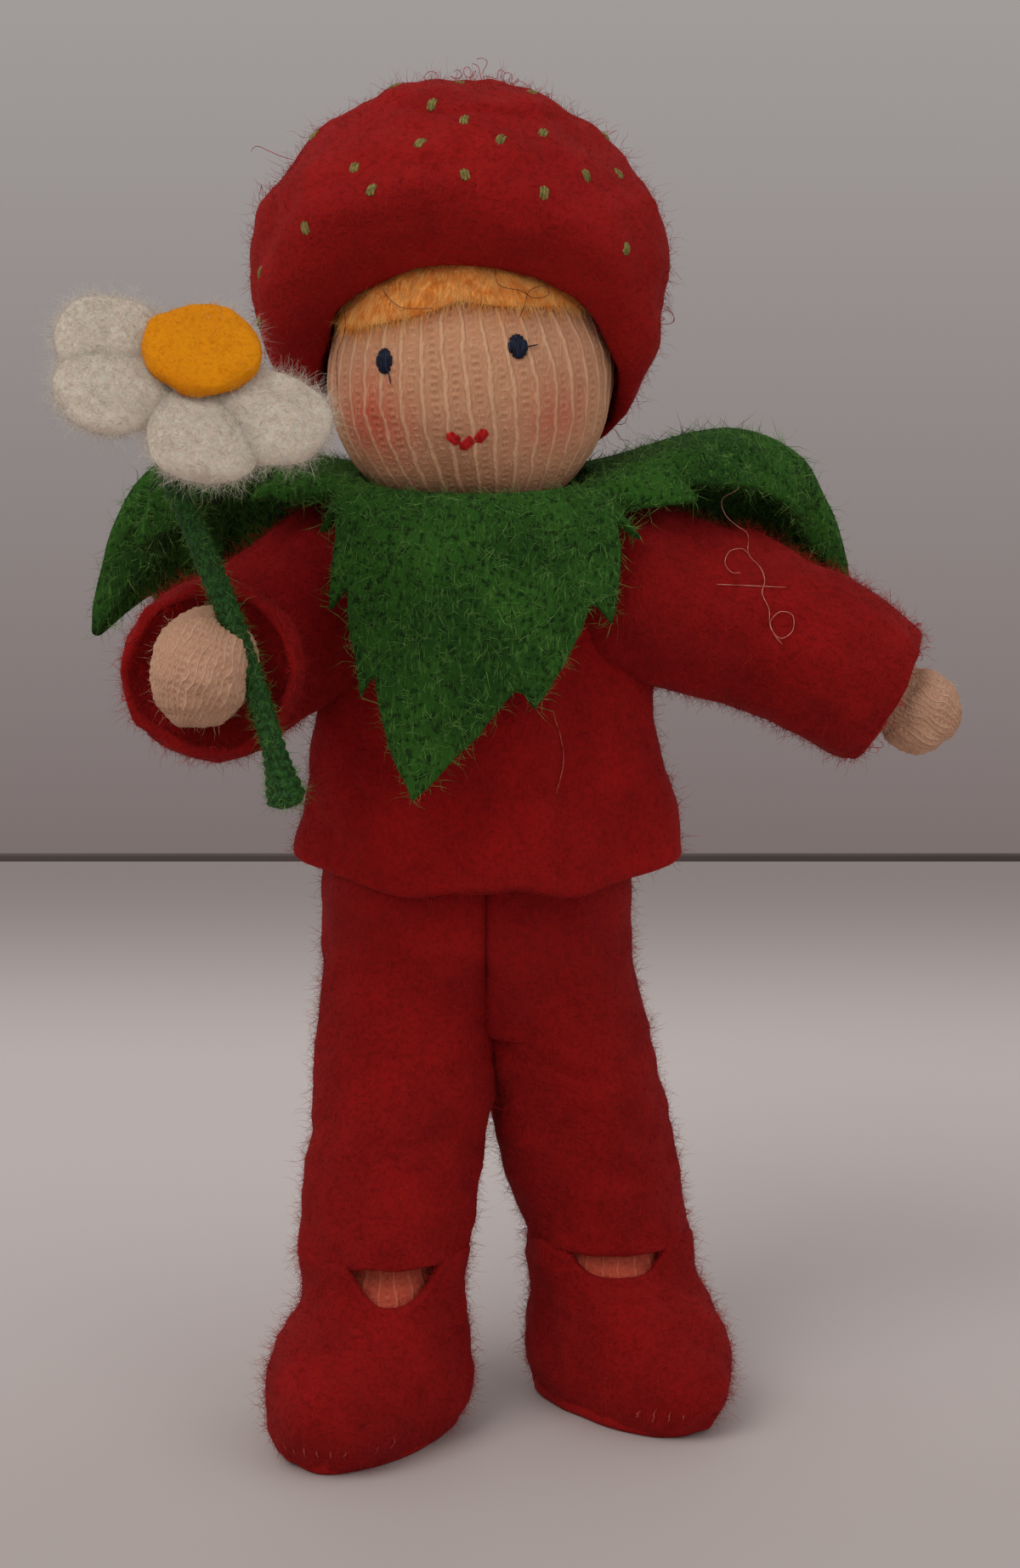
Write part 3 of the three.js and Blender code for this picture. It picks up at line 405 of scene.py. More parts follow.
def joined(parts):
    """One mesh's vertices and faces from several."""
    verts, faces, base = [], [], 0
    for v, f in parts:
        verts.append(v)
        faces += [tuple(i + base for i in face) for face in f]
        base += len(v)
    return np.vstack(verts), faces


def waves(points, size, seed, octaves=2):
    """Smooth field, about -1 to 1, with features of a size."""
    rng = np.random.default_rng(seed)
    total = np.zeros(len(points))
    for octave in range(octaves):
        k = unit(rng.normal(size=(12, 3))) * rng.uniform(0.7, 1.4, (12, 1)) * TURN / size * 2**octave
        total += np.sin(points @ k.T + rng.uniform(0, TURN, 12)).sum(-1) / sqrt(12) * 0.5**octave
    return total


def lumps(points, *layers):
    """Sum of smooth fields, each (size, seed, height)."""
    return sum(waves(points, size, seed) * height for size, seed, height in layers)


def frame_along(way, hint=(0, 0, 1)):
    """Two directions square to a way."""
    way = unit(way)
    side = np.cross(hint, way)
    if np.linalg.norm(side) < 1e-3:
        side = np.cross((0, 1, 0), way)
    side = unit(side)
    return side, np.cross(way, side)


def angles(around):
    return np.arange(around) / around * TURN


def circle(centre, side, other, radius, around):
    a = angles(around)[:, None]
    return centre + (np.cos(a) * side + np.sin(a) * other) * radius


def oval(z, half, front, back, around, power=1.0):
    """A level ring; a power below 1 makes it squarer."""
    c, s = np.cos(angles(around)), np.sin(angles(around))
    x = np.sign(c) * np.abs(c) ** power * half
    y = np.sign(s) * np.abs(s) ** power * np.where(s < 0, front, back)
    return np.stack([x, y, np.full(around, z)], -1)


def bezier(points, count):
    """Points of a smooth curve through the given ones (Catmull-Rom)."""
    p = np.asarray(points, float)
    p = np.vstack([2 * p[0] - p[1], p, 2 * p[-1] - p[-2]])
    out = []
    spans = len(p) - 3
    for t in np.linspace(0, spans, count):
        i = min(int(t), spans - 1)
        u = t - i
        a, b, c, d = p[i : i + 4]
        out.append(0.5 * (2 * b + (c - a) * u + (2 * a - 5 * b + 4 * c - d) * u * u + (3 * b - a - 3 * c + d) * u**3))
    return np.array(out)


def evenly(path, shares):
    """Points of a path at shares of its length, and how far along it they are."""
    run = np.concatenate([[0], np.cumsum(np.linalg.norm(np.diff(path, axis=0), axis=1))])
    at = shares * run[-1]
    return np.stack([np.interp(at, run, path[:, k]) for k in range(3)], -1), at


def eased(raw, lead):
    """Values smoothed over nine of them; lead stands for the four before the first."""
    kernel = np.hanning(9) / np.hanning(9).sum()
    return np.convolve(np.concatenate([lead, raw, np.full(4, raw[-1])]), kernel, "valid")


def strand(path, radius, sides=5, taper=True):
    """Thin round thread along a path."""
    path = np.asarray(path, float)
    ways = np.gradient(path, axis=0)
    side, _ = frame_along(ways[0], (0.31, 0.22, 0.92))
    rings = []
    for i, (p, w) in enumerate(zip(path, ways)):
        w = unit(w)
        side = unit(side - w * (side @ w))
        end = min(i, len(path) - 1 - i)
        r = radius * (0.35 if taper and end == 0 else 0.8 if taper and end == 1 else 1)
        rings.append(circle(p, side, np.cross(w, side), r, sides))
    return closed(rings)


def rides(obj, body, replaces=()):
    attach(obj, body)
    if replaces:
        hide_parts(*replaces)


def blends(pieces, body_a, body_b, start, end, replaces=(), fill=None, slot="red_felt"):
    """Felt across a joint and what lies on it: each piece's placement is baked into its mesh, and the solids it
    replaces are hidden.
    """
    for piece in pieces:
        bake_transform(piece)
    if replaces:
        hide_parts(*replaces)


def surface_of(obj):
    """Vertices in the doll's millimetres, triangles and vertex normals of a piece's mesh."""
    mesh = obj.data
    mesh.calc_loop_triangles()
    triangles = values(mesh.loop_triangles, "vertices", 3, np.int32)
    return doll(values(mesh.vertices, "co", 3)), triangles, values(mesh.vertices, "normal", 3)


def tree_of(obj):
    v, t, _ = surface_of(obj)
    return BVHTree.FromPolygons([tuple(p) for p in row(v)], [tuple(int(i) for i in f) for f in t])


def on_surface(tree, px, py):
    place, normal, _, _ = tree.ray_cast(Vector(EYE), Vector(pixel_ray(px, py)))
    return (None, None) if place is None else (doll(place), np.array(normal))


def fuzz(name, host, count, length, material, seed, lift=0.5, width=0.03, where=None, comb=None, curl=0.5, bends=2):
    """Loose fibres standing on a surface: closed tapered strands of a few straight parts."""
    v, t, n = surface_of(host)
    rng = np.random.default_rng(seed)
    corners = v[t]
    area = np.linalg.norm(np.cross(corners[:, 1] - corners[:, 0], corners[:, 2] - corners[:, 0]), axis=1)
    if where is not None:
        area = area * where(corners.mean(1), unit(n[t].mean(1)))
    pick = rng.choice(len(t), count, p=area / area.sum())
    a, b = rng.random((2, count, 1))
    over = a + b > 1
    a, b = np.where(over, 1 - a, a), np.where(over, 1 - b, b)
    c, m = corners[pick], n[t[pick]]
    root, normal = (p[:, 0] * (1 - a - b) + p[:, 1] * a + p[:, 2] * b for p in (c, m))
    normal = unit(normal)
    way = rng.normal(size=(count, 3))
    if comb is not None:
        way = way * 0.5 + comb
    way = unit(way - normal * (way * normal).sum(1, keepdims=True))
    rise = lift * rng.uniform(0.3, 1.6, (count, 1))
    way = unit(way + normal * rise)
    size = length * np.clip(rng.gamma(2.4, 0.42, (count, 1)), 0.35, 2.4)
    side = unit(np.cross(way, rng.normal(size=(count, 3))))
    other = np.cross(way, side)
    thick = width * rng.uniform(0.6, 1.2, (count, 1))
    last = 3 * bends
    verts = np.zeros((count, last + 1, 3))
    place = root - normal * 0.06
    for bend in range(bends):
        for k in range(3):
            spoke = side * cos(TURN * k / 3) + other * sin(TURN * k / 3)
            verts[:, 3 * bend + k] = place + spoke * thick * (1 - 0.5 * bend / bends)
        if bend:
            way = unit(way + unit(rng.normal(size=(count, 3))) * curl + normal * rise * 0.3)
        place = place + way * size / bends
        # Never down into the felt, nor into the floor
        deep = ((place - root) * normal).sum(1, keepdims=True)
        place = place + normal * np.maximum(0, 0.05 - deep)
        place[:, 2] = np.maximum(place[:, 2], 0.1)
    verts[:, -1] = place
    shape = [(0, 2, 1)]
    for k in range(3):
        j = (k + 1) % 3
        for r in range(0, last - 3, 3):
            shape += [(r + k, r + j, r + 3 + j), (r + k, r + 3 + j, r + 3 + k)]
        shape.append((last - 3 + k, last - 3 + j, last))
    faces = (np.arange(count)[:, None, None] * (last + 1) + np.array(shape)[None]).reshape(-1, 3)
    mesh = bpy.data.meshes.new(name)
    mesh.from_pydata(row(verts.reshape(-1, 3)).tolist(), [], faces.tolist())
    return smooth_object(name, mesh, material)


def red_fuzz(name, host, seed, count=12400, length=1.05, width=0.016, where=None):
    return fuzz(name, host, count, length, M["red_fuzz"], seed, 0.7, width, where, curl=0.9, bends=3)


def wisps(name, host, count, length, seed, where):
    """Long curly hairs springing from a surface."""
    v, t, n = surface_of(host)
    rng = np.random.default_rng(seed)
    middle, normal = v[t].mean(1), unit(n[t].mean(1))
    weight = where(middle, normal) * 1.0
    parts = []
    for i in rng.choice(len(t), count, p=weight / weight.sum()):
        way, curl = unit(normal[i] + rng.normal(size=3) * 0.6), rng.normal(size=3) * 0.5
        place, path = middle[i] - normal[i] * 0.1, []
        step = length * rng.uniform(0.5, 1.3) / 14
        for _ in range(15):
            path.append(place)
            place = place + way * step
            curl = curl + rng.normal(size=3) * 0.25
            way = unit(way + np.cross(way, curl) * 0.5 + normal[i] * 0.03)
        parts.append(strand(path, 0.028, 4))
    return build(name, *joined(parts), M["red_fuzz"])


# Floor and backdrop: a pale table top, and the wall beyond it as the world's colour
TABLE_HALF, TABLE_THICK, TABLE_FAR = 0.6, 0.004, 0.205


def slab(name, x, y, z, material, edge, segments):
    """A box on the stage, given its ranges in metres, with its edges rounded."""
    corners = [(x[0], y[0]), (x[1], y[0]), (x[1], y[1]), (x[0], y[1])]
    faces = [(3, 2, 1, 0), (4, 5, 6, 7), (0, 1, 5, 4), (1, 2, 6, 5), (2, 3, 7, 6), (3, 0, 4, 7)]
    mesh = bpy.data.meshes.new(name)
    mesh.from_pydata([(*c, h) for h in z for c in corners], [], faces)
    mesh.materials.append(material)
    obj = linked(name, mesh)
    bevel = obj.modifiers.new("edge", "BEVEL")
    bevel.width, bevel.segments = edge, segments


def stage():
    f = Finish("table_finish", roughness=0.6)
    y = f.parts(f.coords)["Y"]
    middle = f.mix(f.patches(9, 3, 0.3, 0.7), tone(180, 168, 164), tone(186, 176, 172))
    # Painted light and shade: lighter in a band across the middle of the table, darker towards its far edge by the wall
    top = f.mix(f.ramp(y, -0.07, 0.08), middle, tone(206, 196, 194))
    f.done(f.mix(f.ramp(y, 0.1, 0.2), top, tone(150, 139, 137)), f.noise(700, 2), 0.05, 0.0001)
    wide = (-TABLE_HALF, TABLE_HALF)
    slab("table_top", wide, (-TABLE_HALF, TABLE_FAR), (-TABLE_THICK, 0), f.material, 0.0015, 3)
    # A dark strip of painted shadow in the gap between the table and the wall
    f = Finish("table_gap_finish", roughness=0.9)
    f.done(f.mix(f.patches(12, 2, 0.3, 0.7), tone(84, 74, 73), tone(104, 93, 92)))
    slab("gap_shadow_strip", wide, (TABLE_FAR + 0.0008, TABLE_FAR + 0.0018), (-0.03, 0.0004), f.material, 0.0002, 2)

    world = bpy.data.worlds.new("room")
    bpy.context.scene.world = world
    world.use_nodes = True
    w = Nodes(world.node_tree)
    w.tree.nodes.clear()
    # The wall as it is seen, with painted shade: darker low down
    ways = w.node("ShaderNodeTexCoord").outputs["Generated"]
    low = w.ramp(w.parts(ways)["Z"], -0.26, 0.02, kind="LINEAR")
    wall = w.mix(low, tone(118, 105, 104), tone(172, 168, 166))
    light, seen = w.node("ShaderNodeBackground"), w.node("ShaderNodeBackground")
    for socket, value in ((light.inputs[0], (1.0, 0.985, 0.97, 1)), (light.inputs[1], 0.55), (seen.inputs[0], wall)):
        w.feed(socket, value)
    rays = w.node("ShaderNodeLightPath").outputs
    sight = w.math("MAXIMUM", rays["Is Camera Ray"], rays["Is Transmission Ray"])
    sight = w.math("MAXIMUM", sight, rays["Is Glossy Ray"])
    pick, out = w.node("ShaderNodeMixShader"), w.node("ShaderNodeOutputWorld")
    for socket, value in zip(pick.inputs, (sight, light.outputs[0], seen.outputs[0])):
        w.feed(socket, value)
    w.feed(out.inputs[0], pick.outputs[0])

    for name, place, energy, size, colour in (
        ("key_light", (-0.55, -0.6, 1.05), 5.5, 0.7, (1.0, 0.98, 0.95)),
        ("fill_light", (0.9, -0.7, 0.6), 1.6, 0.9, (0.95, 0.97, 1.0)),
    ):
        data = bpy.data.lights.new(name, "AREA")
        data.energy, data.size, data.color = energy, size, colour
        made = linked(name, data)
        made.location = place
        made.rotation_euler = (Vector(place) - Vector((0, 0, 0.055))).to_track_quat("Z", "Y").to_euler()
    bpy.context.scene.view_settings.view_transform = "Standard"


# Rings shared by the pieces. LIP: a rolled edge of felt, as (beyond the edge, in from its outer face)
LIP = [(0.5 * sin(t), 0.5 - 0.5 * cos(t)) for t in np.radians([30, 60, 90, 120, 150])]


def lip(centre, way, side, other, radius, around):
    return [circle(centre + way * out, side, other, radius - inn, around) for out, inn in LIP]


def dome(centre, way, side, other, radius, rises, around):
    """Rings over a ball, at angles in degrees above its middle."""
    rises = np.radians(rises)
    return [circle(centre + way * radius * sin(t), side, other, radius * cos(t), around) for t in rises]


def ribbed(u, width):
    """Relief of the knit's ribs, one for each whole number of u."""
    return 0.11 * np.exp(-((((u + 0.5) % 1) - 0.5) / width) ** 2)


def about_z(a):
    return np.array([[cos(a), -sin(a), 0], [sin(a), cos(a), 0], [0, 0, 1]])


# Hat: the bulbous form's outline, cut by its brim, rolled in round the face
HAT_STEPS = [0, 0.1, 0.25, 0.42, 0.58, 0.72, 0.84, 0.93, 0.985, 1.0]
HAT_WIDE = [0.7, 0.83, 0.94, 1.0, 0.965, 0.86, 0.69, 0.46, 0.22, 0.0]
HAT_HALF, HAT_DEPTH, HAT_TALL, HAT_DROP = 18.1, 17.0, 30.2, 5.1
CAP_FROM, CAP_TALL = 0.93, 0.07
HAT_CENTRE = np.array([-1.5, 1.5, 8.0])
BRIM = np.array([0, -cos(radians(36)), -sin(radians(36))])
BRIM_AT = BRIM * 0.4


def hat():
    around, down = 168, 56
    fine, height = np.linspace(0, 1, 400), np.linspace(0, 1, 500)
    raw = np.interp(fine, HAT_STEPS, HAT_WIDE)
    kernel = np.hanning(41) / np.hanning(41).sum()
    soft = np.convolve(np.concatenate([np.full(20, raw[0]), raw, np.zeros(20)]), kernel, "valid")
    cap = fine > CAP_FROM
    soft[cap] = soft[~cap][-1] * np.sqrt(np.clip(1 - ((fine[cap] - CAP_FROM) / CAP_TALL) ** 2, 0, 1))
    share = np.interp(height, fine, soft)
    columns = []
    for a in angles(around):
        x, y = np.cos(a) * HAT_HALF * share, np.sin(a) * HAT_DEPTH * share
        line = np.stack([HAT_CENTRE[0] + x, HAT_CENTRE[1] + y, height * HAT_TALL - HAT_DROP], -1)[::-1]
        ahead = np.nonzero((line - BRIM_AT) @ BRIM > 0)[0]
        if len(ahead):
            line = line[: ahead[0] + 1]
        columns.append(evenly(line, np.linspace(0, 1, down) ** 0.9)[0])
    outer = np.stack(columns, 1)
    edge = outer[-1]
    # The roll, from the edge round to the head: half a turn forward, then in behind it
    toward = BRIM_AT - edge
    toward = unit(toward - BRIM * (toward @ BRIM)[:, None])
    low = np.clip((edge[:, 1:2] - 2) / 8, 0, 1)
    fore = unit(BRIM * (1 - low) - Z * low)
    toward = unit(toward - fore * (toward * fore).sum(1, keepdims=True))
    fleece = HAT_TURN.T @ HEAD_TURN @ HAIR_AXIS
    limit = HEAD_R + 0.55 + 0.6 * np.clip((unit(edge + toward * 8) @ fleece - 0.3) / 0.3, 0, 1)[:, None]
    along = (edge * toward).sum(1, keepdims=True)
    off = (edge**2).sum(1, keepdims=True) - along**2
    span = np.clip(-along - np.sqrt(np.maximum(limit**2 - off, 0.0)), 0.6, 9.0)
    swell = np.interp(edge[:, 2], [4, 14], [1.5, 0.5])[:, None]
    steps = np.linspace(0, 1, 14)[1:]
    roll = [edge + toward * span * (k**0.95) + fore * (swell * sin(pi * k) ** 0.8) for k in steps]
    tuck = []
    for k in np.linspace(0, 1, 6)[1:]:
        p = edge + toward * span - fore * 3.6 * k
        r = np.linalg.norm(p, axis=1, keepdims=True)
        tuck.append(p / r * np.maximum(r, limit))
    lining = [outer[down - k] + unit(HAT_CENTRE - outer[down - k]) * 1.8 for k in (8, 18, 30, 42, 52)]
    rings = np.concatenate([outer[1:], roll, tuck, lining])
    for _ in range(40):
        a, b = down - 16, down + 10
        rings[a:b] = (rings[a - 1 : b - 1] + 2 * rings[a:b] + rings[a + 1 : b + 1]) / 4
    verts, faces = closed(rings)
    verts[-2] = outer[0].mean(0)
    # Lumps of wet-felted wool, on the outside only
    lump = lumps(verts, (9, 11, 0.28), (3.2, 12, 0.07))
    lump[(down - 1 + len(roll)) * around : -2] = 0
    lump[-1] = 0
    verts = verts + unit(verts - HAT_CENTRE + Z * 2) * lump[:, None]
    obj = build("hat_felt", HEAD + verts @ HAT_TURN.T, faces, M["hat_felt"])
    rides(obj, "head", ["hat"])
    return obj


def stitch(place, normal, way, length, width, threads, sink=0.12):
    """A short sewn stitch of a few threads side by side, arched over the felt."""
    way = unit(way - normal * (way @ normal))
    side = np.cross(normal, way)
    s = np.linspace(-1, 1, 9)
    parts = []
    for k in range(threads):
        off = (k - (threads - 1) / 2) * width / threads
        share = 1 - 0.35 * abs(off) / (width / 2 + 1e-6)
        path = place + way * (s * length / 2 * share)[:, None] + side * off
        path = path + normal * (0.16 * (1 - s**2) - sink)[:, None]
        parts.append(strand(path, width / threads * 0.62, 6, taper=False))
    return joined(parts)


# Seed stitches that the front shows, in the frame's pixels; the others are strewn over the hat
SEEDS = [
    (306, 320), (359, 268), (417, 197), (437, 223), (494, 168), (508, 123), (546, 141),
    (547, 205), (589, 164), (639, 156), (640, 227), (690, 207), (728, 205), (737, 292),
]
SEED_COUNT, SEED_GAP = 44, 5.2


def seeds(host):
    tree, rng = tree_of(host), np.random.default_rng(5)
    parts, used = [], []

    def sew(place, normal, x, y):
        used.append(place)
        parts.append(stitch(place, normal, unit(HAT_TURN @ [x, y, 1.0]), 1.15, 0.75, 3))

    for pixel in SEEDS:
        place, normal = on_surface(tree, *pixel)
        if place is not None:
            sew(place, normal, 0.25 * rng.normal(), 0.2)
    centre = HEAD + HAT_TURN @ HAT_CENTRE
    for _ in range(4000):
        if len(used) >= SEED_COUNT:
            break
        d = unit(rng.normal(size=3))
        local = d @ HAT_TURN
        if local[1] < -0.15 or local[2] < -0.35:
            continue
        hit, normal, _, _ = tree.ray_cast(Vector(row(centre + d * 60)), Vector(-d))
        if hit is None:
            continue
        place = doll(hit)
        if min(np.linalg.norm(place - u) for u in used) >= SEED_GAP:
            sew(place, np.array(normal), 0.3 * rng.normal(), 0.3 * rng.normal())
    rides(build("hat_seed_stitches", *joined(parts), M["khaki_thread"]), "head")


# Head: a knit tube gathered over a ball. Spots of rouge on the cheeks and of painted shade under the chin: pixel,
# reach, amount and colour
PINK, PAINTED_CHIN_SHADE = tone(198, 76, 52), tone(140, 92, 64)
# The last spot is painted shade under the chin, not rouge
ROUGE_AND_CHIN_SHADOW = ((438, 495, 6.4, 0.95, PINK), (658, 490, 5.8, 0.55, PINK), (545, 558, 8.0, 0.6, PAINTED_CHIN_SHADE))
ROW_TALL = 0.66


def head():
    ribs, around, neck_r = 40, 400, 3.6
    polar = np.linspace(pi / 2 - 0.05, 1e-3 - acos(neck_r / HEAD_R), 136)
    levels = [(HEAD_R * cos(p), HEAD_R * sin(p), HEAD_R * (pi / 2 - p) / ROW_TALL) for p in polar]
    for z in np.linspace(levels[-1][1], -15.4, 10)[1:]:
        levels.append((neck_r, z, levels[-1][2] + 0.35))
    levels.append((2.4, -16.5, levels[-1][2] + 1))
    u = angles(around) / TURN * ribs
    rings, uv = [], []
    for r, z, v in levels:
        wide = r + ribbed(u, 0.12) * min(1, r / 6)
        rings.append(oval(z, wide, wide, wide, around))
        uv.append(np.stack([u, np.full(around, v)], -1))
    uv = np.vstack([*uv, [0, 0], [0, v + 1]])
    verts, faces = closed(rings)
    verts = verts + unit(verts * [1, 1, 0.6]) * lumps(verts, (8, 31, 0.07), (2.2, 32, 0.025))[:, None]
    # A stuffed head: a little wider at the cheeks
    verts[:, 0] *= 1 + 0.012 * np.clip(-verts[:, 1] / HEAD_R, 0, 1)
    tint_and_shadow_spots = []
    # Each spot of rouge and of painted shade sits where its pixel's ray meets the head
    for px, py, *look in ROUGE_AND_CHIN_SHADOW:
        d, c = pixel_ray(px, py), EYE - row(HEAD)
        t = -(c @ d) - sqrt((c @ d) ** 2 - (c @ c - (HEAD_R * MM) ** 2))
        tint_and_shadow_spots.append((doll(EYE + d * t), *look))
    finish = knit("face_knit_finish", (200, 142, 108), (234, 188, 150), (130, 80, 56), rouge_and_shade=tint_and_shadow_spots)
    obj = build("head_stockinette", HEAD + verts @ HEAD_TURN.T, faces, finish, uv)
    rides(obj, "head", ["head_knit"])
    return obj


def down_leg(z):
    return np.clip((HIP_Z - z) / (HIP_Z - ANKLE_Z), 0, 1)


def spread(side, z):
    """How far a leg's felt stands outward of its wire at a height."""
    return (0.9 if side > 0 else 0.6) * down_leg(z)


def slimmed(verts, side):
    """The doll's left thigh is the slimmer one on its outer side; both fill out where they touch."""
    left, out_x, z = side > 0, verts[:, 0] * side, verts[:, 2]
    out = np.clip((out_x - 6) / 6, 0, 1)
    middle = 7.1 + (2.9 if left else 1.4) * down_leg(z)
    inner = np.clip((middle - out_x) / 7, 0, 1) ** 2
    full = np.interp(z, [16, 22, 29, 35, 41], [0, 1.2, 1.8, 1.3, 0]) * inner * (1.15 if left else 0.95)
    shift = (-1.4 * np.clip((z - 26) / 14, 0, 1) * out if left else 0.35 * out) - full + spread(side, z)
    return verts + X * (shift * side)[:, None]


def felt_lumps(verts, side):
    """Unevenness that a leg and its side of the seat share."""
    return lumps(verts, (11, 41 + side, 0.22), (3.5, 43 + side, 0.06))


# Trouser legs: one felt tube from hip to cuff
def leg(name):
    hip, ankle, side, _ = LEGS[name]
    around, radius, cuff_z = 72, 6.95, 15.2 if side > 0 else 16.5
    down, knee = unit(ankle - hip), (hip + ankle) / 2

    def centre(z):
        return hip + (ankle - hip) * (hip[2] - z) / (hip[2] - ankle[2])

    rings = dome(hip, Z, X, Y, radius, np.linspace(82, 8, 9), around)
    for k in np.linspace(0, 1, 44):
        last = centre(hip[2] - k * (hip[2] - cuff_z))
        r = radius + 0.3 * k**1.5 + 0.12 * sin(k * 9)
        rings.append(circle(last, X, Y, r, around))
    rings += lip(last, -Z, X, Y, r, around)
    rings += [circle(centre(cuff_z + up), X, Y, r - 1.05, around) for up in (0.4, 1.5, 3, 5, 7.5)]
    verts, faces = closed(rings)
    z = verts[:, 2]
    out = unit(verts - (hip + down * ((verts - hip) @ down)[:, None]))
    # Soft creases across the knee and at the shoe
    crease = 0.12 * np.sin(z * 1.1 + 2 * waves(verts, 9, 47 + side)) * np.exp(-(((z - knee[2]) / 7) ** 2))
    cuff = 0.18 * np.exp(-(((z - cuff_z) / 1.5) ** 2)) * waves(verts, 4.5, 49 + side)
    verts = verts + out * (felt_lumps(verts, side) + crease + cuff)[:, None]
    verts[:, 2] += cuff * 0.8
    obj = build(f"{name}_trouser_leg", slimmed(verts, side), faces, M["red_felt"])
    loose = red_fuzz(f"{name}_leg_fibres", obj, 61 + side)
    solids = (f"{name}_trouser_thigh", f"{name}_trouser_shin")
    blends((obj, loose), f"{name}_thigh", f"{name}_shin", knee - down * 5, knee + down * 5, solids, 0.9)


def elbow_bend(name):
    """The two bodies at an elbow, and where the felt's bend starts and ends."""
    shoulder, upper, lower, _ = ARMS[name]
    elbow = shoulder + upper * UPPER_ARM
    return f"{name}_upper_arm", f"{name}_forearm", elbow - upper * 4.2, elbow + lower * 3.2


# Sleeves: one felt tube from shoulder to an open cuff, which bends at the elbow
def sleeve(name):
    shoulder, upper, lower, side = ARMS[name]
    left, around, top_r, low_r = side > 0, 80, 7.7, 7.05
    elbow = shoulder + upper * UPPER_ARM
    cuff = elbow + lower * FOREARM
    corner = [
        shoulder + upper * 0.66 * UPPER_ARM,
        elbow - upper * 1.2 + lower * 0.9,
        elbow + lower * 0.34 * FOREARM,
    ]
    spine = [
        shoulder + upper * np.linspace(0, 0.62, 12)[:, None] * UPPER_ARM,
        bezier(corner, 16),
        elbow + lower * np.linspace(0.4, 1.0, 14)[:, None] * FOREARM,
    ]
    spine, _ = evenly(np.vstack(spine), np.linspace(0, 1, 46))
    for _ in range(3):
        spine[1:-1] = (spine[:-2] + 2 * spine[1:-1] + spine[2:]) / 4
    ways = unit(np.gradient(spine, axis=0))
    s, o = frame_along(ways[0])
    rings = dome(shoulder, -upper, s, o, top_r, np.linspace(84, 8, 9), around)
    for c, w, k in zip(spine, ways, np.linspace(0, 1, len(spine))):
        s = unit(s - w * (s @ w))
        o = np.cross(w, s)
        r = top_r + (low_r - top_r) * min(1, k * 1.3) + (0.15 if left else 0.7) * max(0, k - 0.6) / 0.4
        r -= 0.85 * (max(0, k - 0.88) / 0.12) ** 2 if left else 0.45 * max(0, k - 0.93) / 0.07
        rings.append(circle(c, s, o, r, around))
    rings += lip(cuff, w, s, o, r, around)
    for back in (0.3, 0.8, 1.4, 2.0):
        rings.append(circle(cuff - w * back, s, o, r - (1.05 if left else 0.6 + 1.45 * back), around))
    verts, faces = closed(rings)
    thin = spine[::3]
    out = unit(verts - thin[np.linalg.norm(verts[:, None] - thin, axis=2).argmin(1)])
    rim = (0.08 if left else 0.2) * np.exp(-(((verts - cuff) @ w / 1.6) ** 2)) * waves(verts, 5, 75 + side)
    lump = lumps(verts, (10, 71 + side, 0.2), (3.4, 73 + side, 0.06))
    verts = verts + out * (lump + rim)[:, None] + w * (rim * 0.8)[:, None]
    obj = build(f"{name}_sleeve", verts, faces, M["red_felt"])
    loose = red_fuzz(f"{name}_sleeve_fibres", obj, 81 + side)
    hairs = wisps(f"{name}_cuff_wisps", obj, 70, 2.0, 85 + side, lambda p, n: np.abs((p - cuff) @ w) < 1.0)
    solids = (f"{name}_sleeve_upper", f"{name}_sleeve_lower")
    blends((obj, loose, hairs), *elbow_bend(name), solids, 0.85)
    return obj


# Jacket: an A-line of felt, lapped down its front
def jacket():
    hem, around, half, deep, neck = WAIST_Z - 2, 160, 14.2, 8.3, 6.9
    share, flare = [0, 0.2, 0.42, 0.62, 0.82, 0.94, 1.0], (1, 0.62, 0.3, 0)
    width = [half + 2.6 * f for f in flare] + [half * 0.92, half * 0.72, neck]
    depth = [deep + 1.3 * f for f in flare] + [deep * 0.94, deep * 0.84, neck]
    fine = np.linspace(0, 1, 52)
    zs = hem + (NECK_Z - hem) * fine
    raws = (np.interp(fine, share, size) for size in (width, depth))
    w, d = (eased(raw, raw[0] - (raw[4] - raw[0]) * np.linspace(1, 0.25, 4)) for raw in raws)
    rings = [oval(z, a, b, b, around) for z, a, b in zip(zs, w, d)][::-1]
    rings += [oval(hem - out, w[0] - inn, d[0] - inn, d[0] - inn, around) for out, inn in LIP]
    rings += [oval(zs[k] + 0.4, w[k] - 1.1, d[k] - 1.1, d[k] - 1.1, around) for k in range(0, 12, 2)]
    verts, faces = closed(rings)
    low = np.exp(-np.clip((verts[:, 2] - hem) / 7, 0, 9) ** 2)
    turn = np.arctan2(verts[:, 1], verts[:, 0])
    ripple = low * (0.35 * np.sin(turn * 5 + 0.8) + 0.25 * np.sin(turn * 8 + 2))
    lump = lumps(verts, (12, 91, 0.25), (3.5, 93, 0.06))
    verts = verts + unit(verts * [1, 1.6, 0]) * (lump + ripple)[:, None]
    rise = 0.3 * np.sin(turn * 4 + 1.0) + 0.15 * np.sin(turn * 9) + 1.1 * np.abs(np.cos(turn)) ** 6
    verts[:, 2] += low * rise
    # The lap: its edge runs down the front, to the doll's left of the middle
    x, y, z = verts.T
    lap = (y < 0) * (z < SHOULDER_Z) / (1 + np.exp((x - (6.0 + 0.02 * (z - hem))) / 0.12))
    outer = np.arange(len(verts)) < len(zs) * around
    verts[:, 1] -= 0.7 * lap * np.clip((x + 10) / 14, 0, 1) * outer
    obj = build("jacket_felt", verts, faces, M["jacket_felt"])
    rides(obj, "torso", ["jacket"])
    rides(red_fuzz("jacket_fibres", obj, 95, length=1.1, width=0.017), "torso")
    return obj


